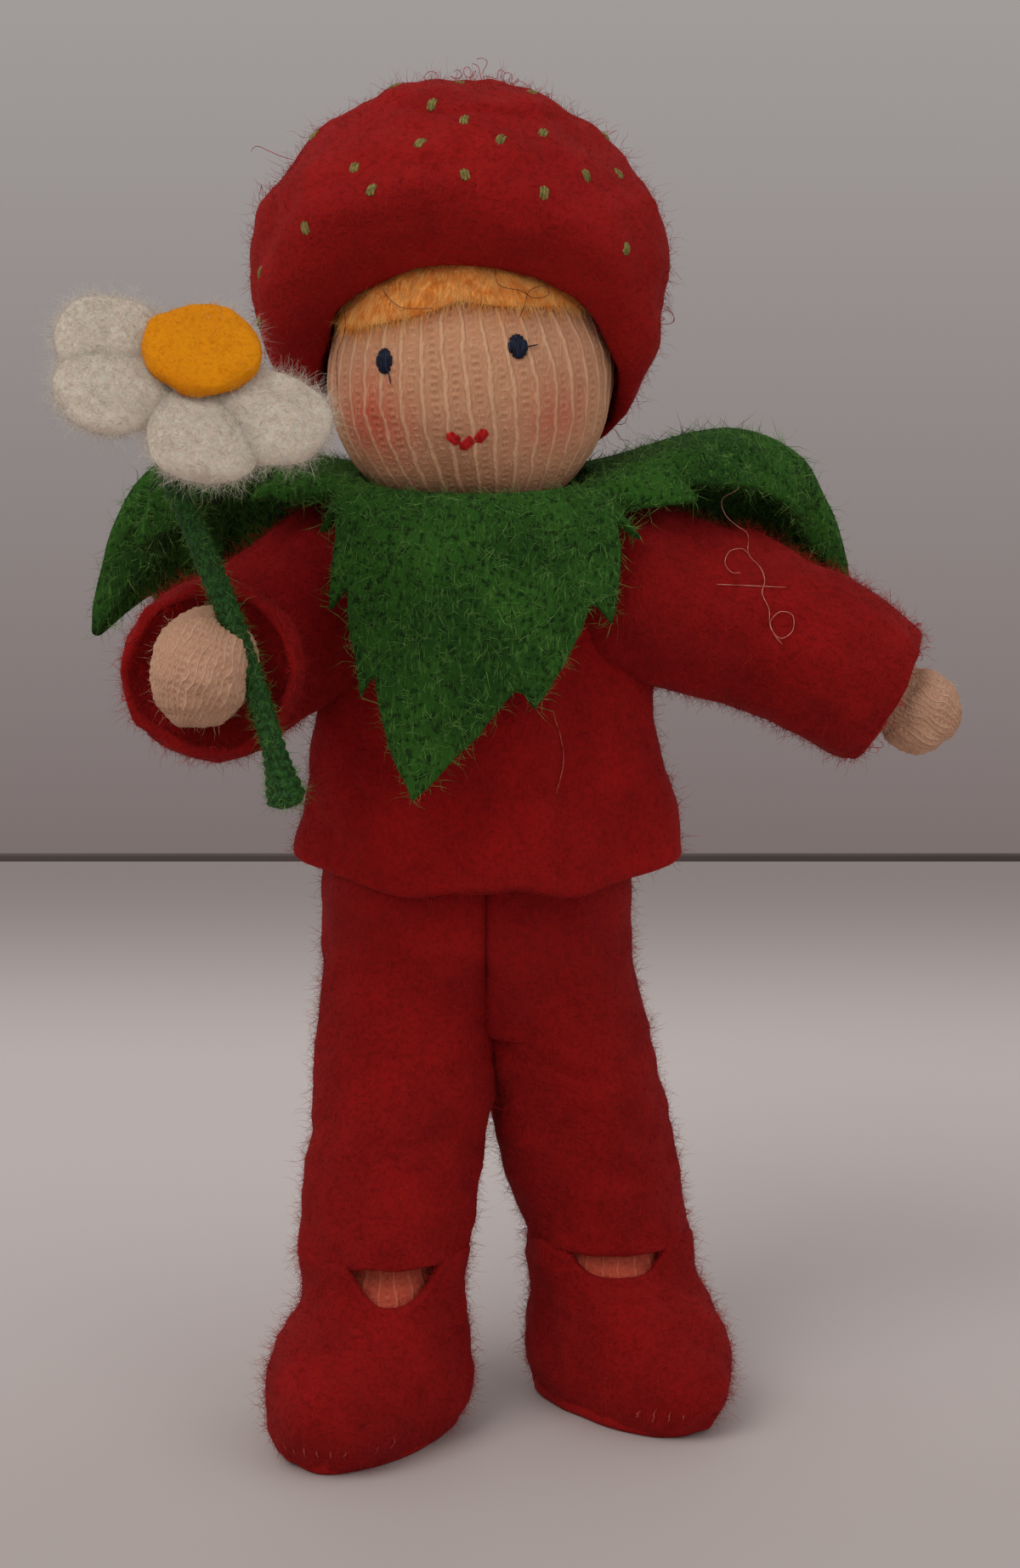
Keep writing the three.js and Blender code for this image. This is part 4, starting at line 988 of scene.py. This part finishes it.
# Trouser seat, one side of it for each hip
def seat(name):
    hip, _, side, _ = LEGS[name]
    at, top, around = X * hip[0], WAIST_Z + 0.6, 72
    inner = np.cos(angles(around)) * side < 0
    rings = []
    for z in np.linspace(top, HIP_Z - 7.0, 26):
        k = (top - z) / (top + 7.0 - HIP_Z)
        # Round outside; squarer inside, where the two halves meet in the middle seam
        r = 7.1 - 0.9 * np.clip((k - 0.55) / 0.45, 0, 1) ** 1.6
        square = np.where(inner, 0.28 + 0.72 * np.clip((HIP_Z + 1 - z) / 7, 0, 1), 1.0)
        rings.append(at + oval(z, np.where(inner, min(7.45, r + 0.9), r), r, r, around, square))
    last = rings[-1]
    for up, share in ((-0.15, 0.97), (0.1, 0.9), (2.0, 0.86)):
        rings.append(at + (last - at) * [share, share, 1] + Z * up)
    verts, faces = closed(rings)
    out = unit((verts - at) * [1, 1, 0])
    verts = verts + out * (felt_lumps(verts, side) * (out[:, 0] * side > -0.5))[:, None]
    obj = build(f"{name}_trouser_seat", slimmed(verts, side), faces, M["red_felt"])
    outward = lambda p, n: (p[:, 0] * side > 1.0) * 1.0
    loose = red_fuzz(f"{name}_seat_fibres", obj, 65 + side, 2400, 1.0, where=outward)
    start, end = at + Z * (HIP_Z + 7), at + Z * (HIP_Z - 2)
    blends((obj, loose), "pelvis", f"{name}_hip_link", start, end, ["trouser_seat"], 0.8)


# The seat's middle: the felt between the two sides, which shows where a leg swings far forward.
# Its levels: height, half width and half depth
GUSSET = [
    (51, 4.4, 4.6), (50.6, 5, 5.4), (48, 5, 5.55), (44, 5, 5.55), (43, 4.9, 5.45), (42.2, 4.6, 5.1),
    (41.3, 4.1, 4.6), (40.4, 3.4, 3.9), (39.5, 2.6, 3.2), (38.7, 1.7, 2.3), (38.2, 0.8, 1.2),
]


def gusset():
    zs, wide, deep = np.array(GUSSET).T
    rings = []
    for z in np.linspace(51, 38.2, 34):
        w, d = np.interp(-z, -zs, wide), np.interp(-z, -zs, deep)
        rings.append(oval(z, w, d, d, 72, np.interp(z, [38.2, 43], [0.8, 0.4])))
    rides(build("trouser_seat_middle", *closed(rings), M["red_felt"]), "pelvis")


# Shoes: a lasted felt upper with an opening on the instep, and a sole.
# The last: share of its height, and shares of its half width and of its toe's reach there
LAST = [
    (0, 0.8, 0.87), (0.1, 0.9, 0.935), (0.24, 0.975, 0.98), (0.42, 1, 1),
    (0.66, 0.97, 0.95), (0.86, 0.91, 0.82), (1, 0.85, 0.64),
]
LAST_LOW, LAST_HIGH, TOE, HEEL = 0.5, 10.6, 16.5, 6.9
# The sole's edge, from below: height, and how far it stands out
SOLE_EDGE = [(0.0, -1.2), (0.0, -0.5), (0.12, -0.18), (0.4, 0.0), (0.9, 0.0), (1.2, -0.18), (1.32, -0.5), (1.32, -1.2)]


def shoe_levels(inset, steps, top):
    """Heights, half widths, toes and heels of the shoe's form at evenly spaced levels."""
    share, wide, reach = np.array(LAST).T
    zs = [*(LAST_LOW + (LAST_HIGH - LAST_LOW) * share), 11.88, 13.6, top]
    half = [*(8.9 * wide), 7.3, 7.3, 7.35]
    toe = [*(TOE * reach), TOE * 0.5, 7.2, 7.2]
    heel = [HEEL] * (len(zs) - 2) + [7.15, 7.2]
    run = np.linspace(zs[0], zs[-1], steps)
    raws = (np.interp(run, zs, size) for size in (half, toe, heel))
    return [run, *(eased(raw, np.full(4, raw[0])) - inset for raw in raws)]


def shoe(name):
    _, ankle, side, toe_out = LEGS[name]
    left, body = side > 0, f"{name}_shoe"
    turn = radians(side * toe_out)
    spin = about_z(turn)
    base = np.array([ankle[0] + side * spread(side, 0), ankle[1], 0])
    rim, around = 14.8 if left else 16.1, 96
    # The opening on the instep dips the upper rings at the front, on the last's own surface
    a = angles(around)
    off = np.degrees(np.abs((a + TURN / 4 + turn * (0.75 if left else 1.42) + pi) % TURN - pi))
    dip = 2.3 * np.clip(1 - (off / 40) ** 4, 0, 1) if left else 3.6 * np.clip(1 - (off / 36) ** 2.4, 0, 1)
    zs, *sizes = shoe_levels(0, 36, rim)
    rings = []
    for level in zs:
        z = level - dip * max(0, (level - 6.5) / (rim - 6.5)) ** 1.5
        w, t, h = (np.interp(z, zs, size) for size in sizes)
        slim = (0.86 if left else 0.93) + 0.14 * min(1, max(0, (level - 9) / 4))
        rings.append(oval(z, w * np.where(np.cos(a) * side < 0, min(slim, 1), 1), t, h, around))
    edge = rings[-1]
    inward = unit(edge * [-1, -1, 0])
    rings = [rings[0] * [k, k, 1] - Z * 0.15 for k in (0.93, 0.98)] + rings
    rings += [edge + inward * inn + Z * out for out, inn in LIP]
    rings += [edge + inward * 1.05 - Z * deep for deep in (0.6, 1.8, 3.2)]
    verts, faces = closed(rings)
    x, y, z = verts.T
    pucker = 0.14 * np.sin(np.arctan2(y, x) * 34) * np.exp(-(((z - 1.2) / 1.1) ** 2)) * (y < 4)
    lump = lumps(verts + base, (9, 101 + side, 0.22), (3, 103 + side, 0.07))
    verts = verts + unit(verts * [1, 1, 0.3]) * (lump + pucker)[:, None]
    verts[:, 2] = np.maximum(verts[:, 2], 0.2)
    upper = build(f"{name}_shoe_felt", base + verts @ spin.T, faces, M["red_felt"])
    above = lambda p, n: (p[:, 2] > 1.2) * 1.0
    loose = red_fuzz(f"{name}_shoe_fibres", upper, 105 + side, 9000, 1.1, where=above)
    start, end = base + Z * (rim + 0.4), base + Z * 11.5
    blends((upper, loose), f"{name}_shin", body, start, end, [f"{name}_shoe_upper"], 0.9)
    # Sole
    w, t, h = 8.6 * 0.79, TOE * 0.87, HEEL * 0.9
    verts, faces = closed([oval(z, w + i, t + i, h + i, around) for z, i in SOLE_EDGE])
    verts = verts + unit(verts * [1, 1, 0]) * (waves(verts + base, 6, 111 + side) * 0.12)[:, None]
    verts[:, 2] = np.maximum(verts[:, 2], 0)
    sole = build(f"{name}_shoe_sole", base + verts @ spin.T, faces, M["sole_felt"])
    rides(sole, body, [f"{name}_sole"])
    # Whip stitches over the seam round the toe, mostly sunk in the felt
    parts, rng = [], np.random.default_rng(115 + side)
    for k in np.linspace(radians(236), radians(316), 11):
        tall = rng.uniform(0.45, 1.0)
        p = np.array([cos(k) * 8.6 * 0.955, sin(k) * TOE * 0.965, 2.5])
        o = unit([cos(k) / w, sin(k) / t, 0])
        lean = np.array([-o[1], o[0], 0]) * rng.uniform(-0.1, 0.3)
        low, high = p - Z * 0.6 * tall - lean - o * 0.25, p + Z * 0.9 * tall + lean - o * 0.2
        parts.append(strand(bezier([low, p - o * 0.02, p + o * 0.08 + Z * 0.4 * tall, high], 9), 0.07))
    verts, faces = joined(parts)
    sewn = build(f"{name}_shoe_stitches", base + verts @ spin.T, faces, M["seam_thread"])
    rides(sewn, body)
    # Knit foot under the opening
    around = 80
    levels = zip(*shoe_levels(1.2, 26, 13.8))
    foot = [oval(z + 0.3, w - 0.9 * min(1, max(0, (12.6 - z) / 2)), t - 0.3, h, around) for z, w, t, h in levels]
    for ring in foot[:20]:
        ring[:, 0] *= np.where(ring[:, 0] * side < 0, 0.86, 1)
    foot += dome(Z * (ANKLE_Z - 0.4), Z, X, Y, 5.3, np.linspace(8, 80, 8), around)
    verts, faces = closed(foot)
    uv = np.stack([(np.arctan2(verts[:, 1], verts[:, 0]) / TURN % 1) * 26, verts[:, 2] / ROW_TALL], -1)
    skin = knit(f"{name}_foot_knit_finish", (194, 80, 58), (224, 118, 90), (132, 48, 36))
    made = build(f"{name}_knit_foot", base + verts @ spin.T, faces, skin, uv)
    rides(made, body, [f"{name}_foot"])


# The stem's path from butt to blossom, from the right fist, in shares of its length
STEM = [
    (0.088, 0, -0.33), (0.046, 0, -0.154), (0, 0, 0), (-0.058, 0, 0.168),
    (-0.122, 0, 0.33), (-0.19, 0, 0.54), (-0.118, 0.035, 0.667),
]
STEM_LONG, YARN_PITCH = 34.5, 0.85


def stem_points():
    shoulder, upper, lower, _ = ARMS["right"]
    grip = shoulder + upper * UPPER_ARM + lower * (FOREARM + 3.15) + [3.95, -0.15, 0]
    return bezier(grip + np.array(STEM) * STEM_LONG, 90)


# Hands: knit mittens
def hand(name, width, length):
    shoulder, upper, lower, side = ARMS[name]
    fist = side < 0
    start = shoulder + upper * UPPER_ARM + lower * (FOREARM - 3.4 + 0.3)
    radius, wrist, ribs = width / 2, 3.1, 40
    middle = start + lower * (length - radius)
    s, o = frame_along(lower)
    profile = [(wrist, 0.0), (wrist, 0.8)]
    for a in np.linspace(asin(wrist / radius), pi - 0.06, 60):
        profile.append((radius * sin(a), length - radius - radius * cos(a)))
    verts, faces = closed([circle(start + lower * z, s, o, r, 240) for r, z in profile])
    # Ribs run round the fist from its heel to its knuckles, and along the open hand
    pole = unit([0.35, 0.1, 0.95]) if fist else lower
    ps, po = frame_along(pole, lower if fist else Z)
    local = verts - middle
    along = pole * (local @ pole)[:, None]
    wander = waves(verts, 3.4, 127 + side) * 0.35
    u = (np.arctan2(local @ po, local @ ps) / TURN % 1) * ribs + wander
    v = np.arccos(np.clip(unit(local) @ pole, -1, 1)) * radius / 0.6
    relief = ribbed(u, 0.26) * np.clip(np.linalg.norm(local - along, axis=1) / 2.2, 0, 1)
    relief = relief * (0.8 + 0.35 * np.cos(v * TURN + 3 * wander))
    verts = verts + unit(local) * relief[:, None]
    if fist:
        verts = verts + (along * 0.17 + Z * 0.3) * np.clip((local @ lower + 3) / 3, 0, 1)[:, None]
    lump = lumps(verts, (4.5, 121 + side, 0.16), (1.8, 123 + side, 0.05))
    verts = verts + unit(verts - middle) * lump[:, None]
    if fist:
        # Clear of the stem
        path = stem_points()
        far = np.linalg.norm(verts[:, None] - path, axis=2)
        push = np.clip(1.12 - far.min(1), 0, None)
        verts = verts + unit(middle - path[far.argmin(1)]) * push[:, None]
    skin = knit(f"{name}_hand_knit_finish", (196, 146, 118), (232, 194, 164), (112, 74, 56))
    obj = build(f"{name}_knit_hand", verts, faces, skin, np.stack([u % ribs, v], -1))
    rides(obj, f"{name}_forearm", [f"{name}_hand"])
    loose = fuzz(f"{name}_hand_fibres", obj, 500, 0.7, M["skin_fuzz"], 125 + side, 0.9, 0.013)
    rides(loose, f"{name}_forearm")


# Daisy: a stem wound with yarn, felted petals and a felt disc
def stem():
    path, run = evenly(stem_points(), np.linspace(0, 1, 340))
    ways = unit(np.gradient(path, axis=0))
    s, _ = frame_along(ways[0])
    around = 26
    rings = []
    for p, w, z in zip(path, ways, run):
        s = unit(s - w * (s @ w))
        butt, mid = exp(-((z / 3.2) ** 2)), exp(-(((z - 20) / 5) ** 2)) * 0.1
        end = min(1, z / 0.8 + 0.25, (run[-1] - z) / 0.8 + 0.3)
        core = (0.92 + 0.7 * butt + mid) * sqrt(end)
        wind = np.abs(np.sin(pi * (z / YARN_PITCH) + angles(around) / 2 + 0.35 * sin(z * 1.7)))
        rings.append(circle(p, s, np.cross(w, s), core * (1 + 0.17 * (wind - 0.5))[:, None], around))
    obj = build("daisy_stem_yarn", *closed(rings), M["green_yarn"])
    rides(obj, "flower_stem", ["daisy_stem"])
    loose = fuzz("daisy_stem_fibres", obj, 2600, 0.8, M["green_fuzz"], 131, 0.9, 0.02)
    rides(loose, "flower_stem")
    return path[-1]


# Petals by their way round the disc, size and middle's distance; the disc's profile, radius and height
PETALS = [(70, 0.66, 2.6), (166, 1.0, 7.0), (208, 1.0, 7.0), (277, 1.0, 7.0), (323, 1.06, 7.0)]
DISC = [
    (4.2, 0), (4.85, 0.12), (5.05, 0.5), (5.0, 0.95), (4.75, 1.3),
    (4.2, 1.5), (3.0, 1.62), (1.6, 1.68), (0.3, 1.7),
]
PETAL_LONG, PETAL_HALF, PETAL_THICK, RISE = 10.6, 4.75, 1.6, 1.2 + 1.6


def daisy(top):
    lift, aside = radians(50), radians(12)
    facing = np.array([cos(lift) * sin(aside), -cos(lift) * cos(aside), sin(lift)])
    turn = np.array(Matrix.Rotation(acos(facing @ Z), 3, Vector(unit(np.cross(Z, facing)))))
    parts = []
    for i, (way, size, middle) in enumerate(PETALS):
        rings = []
        for k in np.linspace(0.03, 0.985, 30):
            swell = sqrt(max(0, 1 - (2 * k - 1) ** 2))
            half = PETAL_HALF * size * swell * (0.8 + 0.3 * k)
            centre = [middle + (k - 0.5) * PETAL_LONG * size, 0, RISE + 0.35 * k]
            rings.append(circle(centre, Y * half, Z * PETAL_THICK * swell**0.7, 1, 40))
        v, f = closed(rings)
        v = v + unit((v - [middle, 0, RISE]) * [1, 1, 2]) * (waves(v, 5.5, 141 + i, 1) * 0.14)[:, None]
        parts.append((v @ about_z(radians(way)).T, f))
    ways = pi * (np.linspace(0.04, 0.96, 18) - 0.5)
    parts.append(closed([circle(Z * (RISE + 1.5 * sin(q)), X, Y, 5.0 * cos(q), 48) for q in ways]))
    for i, (v, f) in enumerate(parts):
        name, count = (f"daisy_petal_{i + 1}", 7500) if i < len(PETALS) else ("daisy_hub", 1500)
        obj = build(name, top + v @ turn.T, f, M["white_wool"])
        rides(obj, "blossom", ["daisy_petals"])
        fine = M["white_fuzz"]
        loose = fuzz(f"{name}_fibres", obj, count, 1.3, fine, 161 + i, 0.55, 0.011, curl=1.2, bends=3)
        rides(loose, "blossom")
    low = RISE + PETAL_THICK + 0.1
    rings = [circle(Z * (low + h), X, Y, r * 0.96, 64) for r, h in DISC]
    dense = [p * (1 - k) + q * k for p, q in zip(rings[:-1], rings[1:]) for k in (0, 1 / 3, 2 / 3)]
    v, f = closed([*dense, rings[-1]])
    v = v + unit(v - Z * (low + 0.6)) * lumps(v, (4, 171, 0.12), (1.3, 172, 0.03))[:, None]
    disc = build("daisy_disc_felt", top + v @ turn.T, f, M["yellow_felt"])
    rides(disc, "blossom", ["daisy_disc"])
    rides(fuzz("daisy_disc_fibres", disc, 2400, 0.5, M["yellow_fuzz"], 173, 0.6, 0.014), "blossom")


# Leaf collar: four lobes of one felt star, as in the solids, cut to finer teeth. Each tip and notch is its
# point and the middle of the drape towards it, in shares of the collar's size
TIPS = [
    (-0.16, -0.426, -0.729, -0.06, -0.426, -0.03), (0.953, 0.235, -0.326, 0.9, 0.18, 0.3),
    (0.06, 0.44, -0.694, 0.03, 0.44, -0.03), (-0.982, 0.176, -0.42, -0.95, 0.13, 0.25),
]
NOTCHES = [
    (-0.374, -0.235, -0.09, -0.34, -0.22, -0.01), (0.397, -0.235, -0.11, 0.32, -0.22, -0.01),
    (0.368, 0.3, -0.17, 0.33, 0.27, -0.03), (-0.368, 0.3, -0.16, -0.33, 0.27, -0.03),
]
BULGES = [
    ((-0.376, -0.406, -0.312), (0.397, -0.368, -0.4)), ((0.735, -0.206, 0.218), (0.72, 0.52, -0.4)),
    ((0.465, 0.465, -0.388), (-0.435, 0.465, -0.388)), ((-0.7, 0.5, -0.4), (-0.765, -0.088, 0.153)),
]
TIP_TURNS, NOTCH_TURNS = [-95, 10, 88, 172], [-146, -38, 40, 140]
COLLAR, COLLAR_SIZE, NECK_HOLE = NECK + [-0.9, 0, 4.4], 34, 10.5


def collar():
    teeth, per, rings, half = 3, 12, 22, 0.5
    steps = teeth * per

    def column(notch, tip, bulge, notch_turn, tip_turn, step):
        along = step / steps
        aside = abs(tip[0]) > 0.5
        phase = (step % 9) / 9 if aside else (step % per) / per
        cut = 0.0 if phase == 0 else 1 - phase if phase > 0.12 else phase / 0.12 * 0.88
        n, t, b = (np.array(p[:3]) for p in (notch, tip, bulge))
        edge = n * (1 - along) ** 2 + b * 2 * along * (1 - along) + t * along**2
        drape = np.array(notch[3:]) * (1 - along) + np.array(tip[3:]) * along
        edge, drape = COLLAR + edge * COLLAR_SIZE, COLLAR + drape * COLLAR_SIZE
        midward = unit(COLLAR + t * COLLAR_SIZE * (0.3 + 0.7 * along) - edge) * aside
        edge = edge + unit(unit(drape - edge) + 1.2 * midward) * (3.6 + 0.9 * aside) * cut
        turn = radians(notch_turn + (tip_turn - notch_turn) * along)
        ring = COLLAR + np.array([cos(turn), sin(turn), 0]) * NECK_HOLE
        u = np.linspace(0, 1, rings)[:, None]
        return ring * (1 - u) ** 2 + drape * 2 * u * (1 - u) + edge * u**2

    columns = []
    for lobe, (tip, (up, down), tip_turn) in enumerate(zip(TIPS, BULGES, TIP_TURNS)):
        nxt = (lobe + 1) % 4
        first, last = NOTCH_TURNS[lobe], NOTCH_TURNS[nxt] + (0 if nxt else 360)
        columns += [column(NOTCHES[lobe], tip, up, first, tip_turn, i) for i in range(steps)]
        columns += [column(NOTCHES[nxt], tip, down, last, tip_turn, steps - i) for i in range(steps)]
    grid = np.array(columns)
    soft = [waves(grid.reshape(-1, 3), 13, 181 + k).reshape(grid.shape[:2]) * 0.22 for k in range(3)]
    grid = grid + np.stack(soft, -1) * np.linspace(0, 1, rings)[:, None]
    after = np.roll(grid, -1, 0)
    for q, r in ((grid[:, 1:], after[:, 1:]), (after[:, 1:], after[:, :-1])):
        p = grid[:, :-1]
    normal = unit(np.cross(np.gradient(grid, axis=1), (after - np.roll(grid, 1, 0)) / 2))
    for _ in range(6):
        normal = unit(normal + np.roll(normal, 1, 0) + np.roll(normal, -1, 0))

    def rolled(k, beyond, turns):
        """The sheet's edge, rolled over from one face to the other."""
        out, up = unit(grid[:, k] - grid[:, beyond]), normal[:, k]
        return [grid[:, k] + up * half * cos(t) + out * half * sin(t) * 0.8 for t in np.radians(turns)]

    layers = [grid[:, k] + normal[:, k] * half for k in range(rings)]
    layers += rolled(-1, -2, [36, 72, 108, 144])
    layers += [grid[:, k] - normal[:, k] * half for k in range(rings)[::-1]]
    layers += rolled(0, 1, [144, 108, 72, 36])
    n, count = len(grid), len(layers)
    i = np.arange(n)
    j = (i + 1) % n
    faces = []
    for k in range(count):
        p, q = k * n, ((k + 1) % count) * n
        faces += list(zip(p + i, p + j, q + j, q + i))
    obj = build("leaf_collar_felt", np.vstack(layers), faces, M["green_felt"])
    # The four lobes point at the corners of the felt that the star is cut from
    rides(obj, "torso", ["leaf_collar"])
    loose = fuzz("leaf_collar_fibres", obj, 19800, 1.3, M["green_fuzz"], 187, 0.5, 0.026, curl=0.8)
    rides(loose, "torso")


# Hair: combed fleece under the brim
def hair():
    s, o = frame_along(HAIR_AXIS, X)
    spokes = circle(0, s, o, 1, 120)
    # How far the fleece comes down, by the angle from straight ahead
    ahead = np.degrees(np.arccos(np.clip(spokes @ unit([0, -1.0, -0.21]), -1, 1)))
    reach = np.radians(np.interp(ahead, [0, 45, 70, 95, 130, 180], [37.5, 48, 55, 48, 38, 37]))[:, None]
    levels = [(k, 12.95 - 0.12 * k) for k in np.linspace(0.05, 1, 24)]
    levels += [(1.03, 12.7), (1.04, 12.55), (1.02, 12.42), (0.9, 12.38), (0.55, 12.38), (0.16, 12.38)]
    v, f = closed([HAIR_AXIS * r * np.cos(reach * k) + spokes * r * np.sin(reach * k) for k, r in levels])
    v = v + unit(v) * np.clip(waves(v, 3, 191) * 0.1, -0.1, 0.3)[:, None]
    finish = Finish("hair_fleece_finish", roughness=0.85, sheen=0.4, tint=tone(236, 180, 110))
    comb = finish.noise(1500, 3, stretch=9, turn=(0.1, 0, 0))
    colour = finish.mix(finish.ramp(comb, 0.3, 0.7), tone(236, 142, 52), tone(250, 188, 104))
    obj = build("hair_fleece", HEAD + v @ HEAD_TURN.T, f, finish.done(colour, comb, 0.5, 0.0002))
    rides(obj, "head", ["hair"])
    loose = fuzz(
        "hair_fleece_fibres", obj, 9000, 1.5, M["hair_fuzz"], 193, 0.08, 0.02, curl=0.2, bends=3,
        comb=np.array([0, -0.8, -1.6]), where=lambda p, n: (p[:, 1] < 2) * (n @ [0, -1, 0.3] > 0) * 1.0,
    )
    rides(loose, "head")


# Eyes: name, pixel, width, height and pixels of the loose end. Mouth: pixel, length, way across and up
EYES = (
    ("right", (453, 425), 1.45, 2.05, ((458, 438), (461, 452))),
    ("left", (609, 408), 1.6, 1.95, ((618, 409), (632, 406))),
)
MOUTH = (((534, 516), 1.05, 0.5, -0.5), ((550, 521), 1.15, 0.95, 0.75), ((566, 513), 1.0, 0.5, 0.5))


# Face: satin-stitched eyes with a loose end each, and three stitches for the mouth
def face(host):
    tree = tree_of(host)
    right_way, up_way = unit(HEAD_TURN @ X), unit(HEAD_TURN @ Z)
    for name, pixel, wide, tall, tail in EYES:
        place, normal = on_surface(tree, *pixel)
        up = unit(up_way - normal * (up_way @ normal))
        side = np.cross(up, normal)
        s = np.linspace(-1, 1, 11)
        parts = []
        for off in np.linspace(-1, 1, 7):
            reach = tall / 2 * sqrt(max(0.12, 1 - (off * 0.93) ** 2))
            path = place + side * (off * (wide / 2 - 0.12)) + up * (s * reach)[:, None]
            path = path + normal * (0.34 * (1 - 0.75 * s**4) * (1 - 0.3 * off**2) - 0.05)[:, None]
            parts.append(strand(path, wide / 7 * 0.68, 6, taper=False))
        across, along = side * (wide / 2 - 0.1), up * (tall / 2 - 0.1)
        turns = np.linspace(-1.4, 1.4, 9)
        parts.append(closed([circle(place + normal * (0.1 * sin(q)), across, along, cos(q), 24) for q in turns]))
        ends = [p + n * 0.2 for p, n in (on_surface(tree, *at) for at in (pixel, *tail))]
        parts.append(strand(bezier(ends, 14), 0.06))
        obj = build(f"{name}_eye_stitches", *joined(parts), M["navy_thread"])
        rides(obj, "head", [f"{name}_eye"])
    parts = []
    for pixel, length, across, up in MOUTH:
        way = right_way * across + up_way * up
        parts.append(stitch(*on_surface(tree, *pixel), way, length * 1.4, 0.85, 5, sink=0.05))
    rides(build("mouth_thread", *joined(parts), M["red_thread"]), "head", ["mouth_stitches"])


# Lint: loose threads and hairs lying where the doll has caught them
def lying(name, host, lines, radius, material, off=0.12):
    """Threads along pixels of the frame, on a surface or, off it, as far as its edge."""
    tree = tree_of(host)
    parts = []
    for line in lines:
        hits = [on_surface(tree, *p) for p in line]
        depth = next(np.linalg.norm(row(h) - EYE) for h, _ in hits if h is not None)
        path = []
        for (place, normal), pixel in zip(hits, line):
            if place is None:
                path.append(doll(EYE + pixel_ray(*pixel) * depth))
            else:
                depth = np.linalg.norm(row(place) - EYE)
                path.append(place + normal * off)
        parts.append(strand(bezier(path, 8 * len(path)), radius))
    return build(name, *joined(parts), material)


SLEEVE_LINT = [
    [
        (862, 548), (871, 572), (850, 587), (853, 605), (866, 618), (879, 630), (880, 653), (894, 669), (899, 684),
        (896, 699), (904, 717), (906, 738), (918, 751), (932, 742), (932, 724), (917, 720), (906, 732), (911, 747),
        (920, 758),
    ],
    [(880, 653), (872, 647), (858, 650), (853, 663), (860, 674), (871, 675)],
    [(843, 688), (884, 690), (925, 692)],
]
JACKET_LINT = [[(650, 842), (658, 866), (662, 897), (653, 934)]]
FACE_LINT = [
    [(455, 346), (462, 361), (482, 370), (512, 370)],
    [
        (584, 322), (577, 336), (587, 346), (606, 351), (626, 357), (640, 352), (634, 345), (618, 350), (609, 364),
        (606, 380),
    ],
    [(414, 364), (418, 392), (409, 422), (411, 460)],
]


def lint(sleeve_host, jacket_host, head_host, hat_host):
    obj = lying("sleeve_lint", sleeve_host, SLEEVE_LINT, 0.032, M["pink_hair"])
    blends((obj,), *elbow_bend("left"), slot="flesh_knit")
    rides(lying("jacket_lint", jacket_host, JACKET_LINT, 0.05, M["seam_thread"]), "torso")
    rides(lying("face_lint", head_host, FACE_LINT, 0.03, M["dark_hair"], off=1.05), "head")
    rim = lambda p, n: (np.abs(n @ unit(BACK)) < 0.35) * (p[:, 2] > 84)
    rides(wisps("hat_wisps", hat_host, 46, 4.2, 23, rim), "head")


# Wool inside: each stuffing follows its solid, softened and lumpy
STUFFING = {"pelvis_wool": "pelvis", "trunk_wool": "torso", "head_ball": "head"}
STUFFING |= {f"{s}_{part}_wool": f"{s}_{part}" for s in SIDES for part in ("thigh", "shin", "upper_arm", "forearm")}
VOXEL = 0.00042


def stuffing():
    for node, body in STUFFING.items():
        obj = linked(f"{node}_wound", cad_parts[node].data.copy())
        obj.data.materials.clear()
        remesh = obj.modifiers.new("wind", "REMESH")
        remesh.mode, remesh.voxel_size = "VOXEL", VOXEL
        mesh = bpy.data.meshes.new_from_object(obj.evaluated_get(bpy.context.evaluated_depsgraph_get()))
        bpy.data.objects.remove(obj)
        work = bmesh.new()
        work.from_mesh(mesh)
        for _ in range(3):
            bmesh.ops.smooth_vert(work, verts=work.verts, factor=0.5, use_axis_x=True, use_axis_y=True, use_axis_z=True)
        work.to_mesh(mesh)
        work.free()
        co, no = values(mesh.vertices, "co", 3), values(mesh.vertices, "normal", 3)
        co = co + no * ((waves(co / MM, 3, 201) * 0.07 - 0.1) * MM)[:, None]
        mesh.vertices.foreach_set("co", co.ravel())
        mesh.materials.clear()
        rides(smooth_object(f"{node}_wound", mesh, M["stuffing"]), body, [node])


def wires():
    f = Finish("armature_wire_finish", roughness=0.35, metallic=1.0)
    drawn = f.noise(3000, 2, stretch=30)
    steel = f.done(f.mix(f.ramp(drawn, 0.3, 0.7), tone(120, 122, 128), tone(168, 170, 174)), drawn, 0.15, 0.00002)
    for name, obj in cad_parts.items():
        finish = M["peach_thread"] if name == "neck_thread" else steel if "wire" in name else None
        if finish:
            for slot in obj.material_slots:
                slot.material = finish


camera()
stage()
hat_piece = hat()
seeds(hat_piece)
rides(red_fuzz("hat_fibres", hat_piece, 21, length=1.2, width=0.017), "head")
head_piece = head()
hair()
face(head_piece)
for limb_side in SIDES:
    leg(limb_side)
    seat(limb_side)
    shoe(limb_side)
gusset()
sleeves = [sleeve(limb_side) for limb_side in SIDES]
jacket_piece = jacket()
hand("left", 7.3, 10.3)
hand("right", 8.7, 9.5)
daisy(stem())
collar()
lint(sleeves[0], jacket_piece, head_piece, hat_piece)
stuffing()
wires()
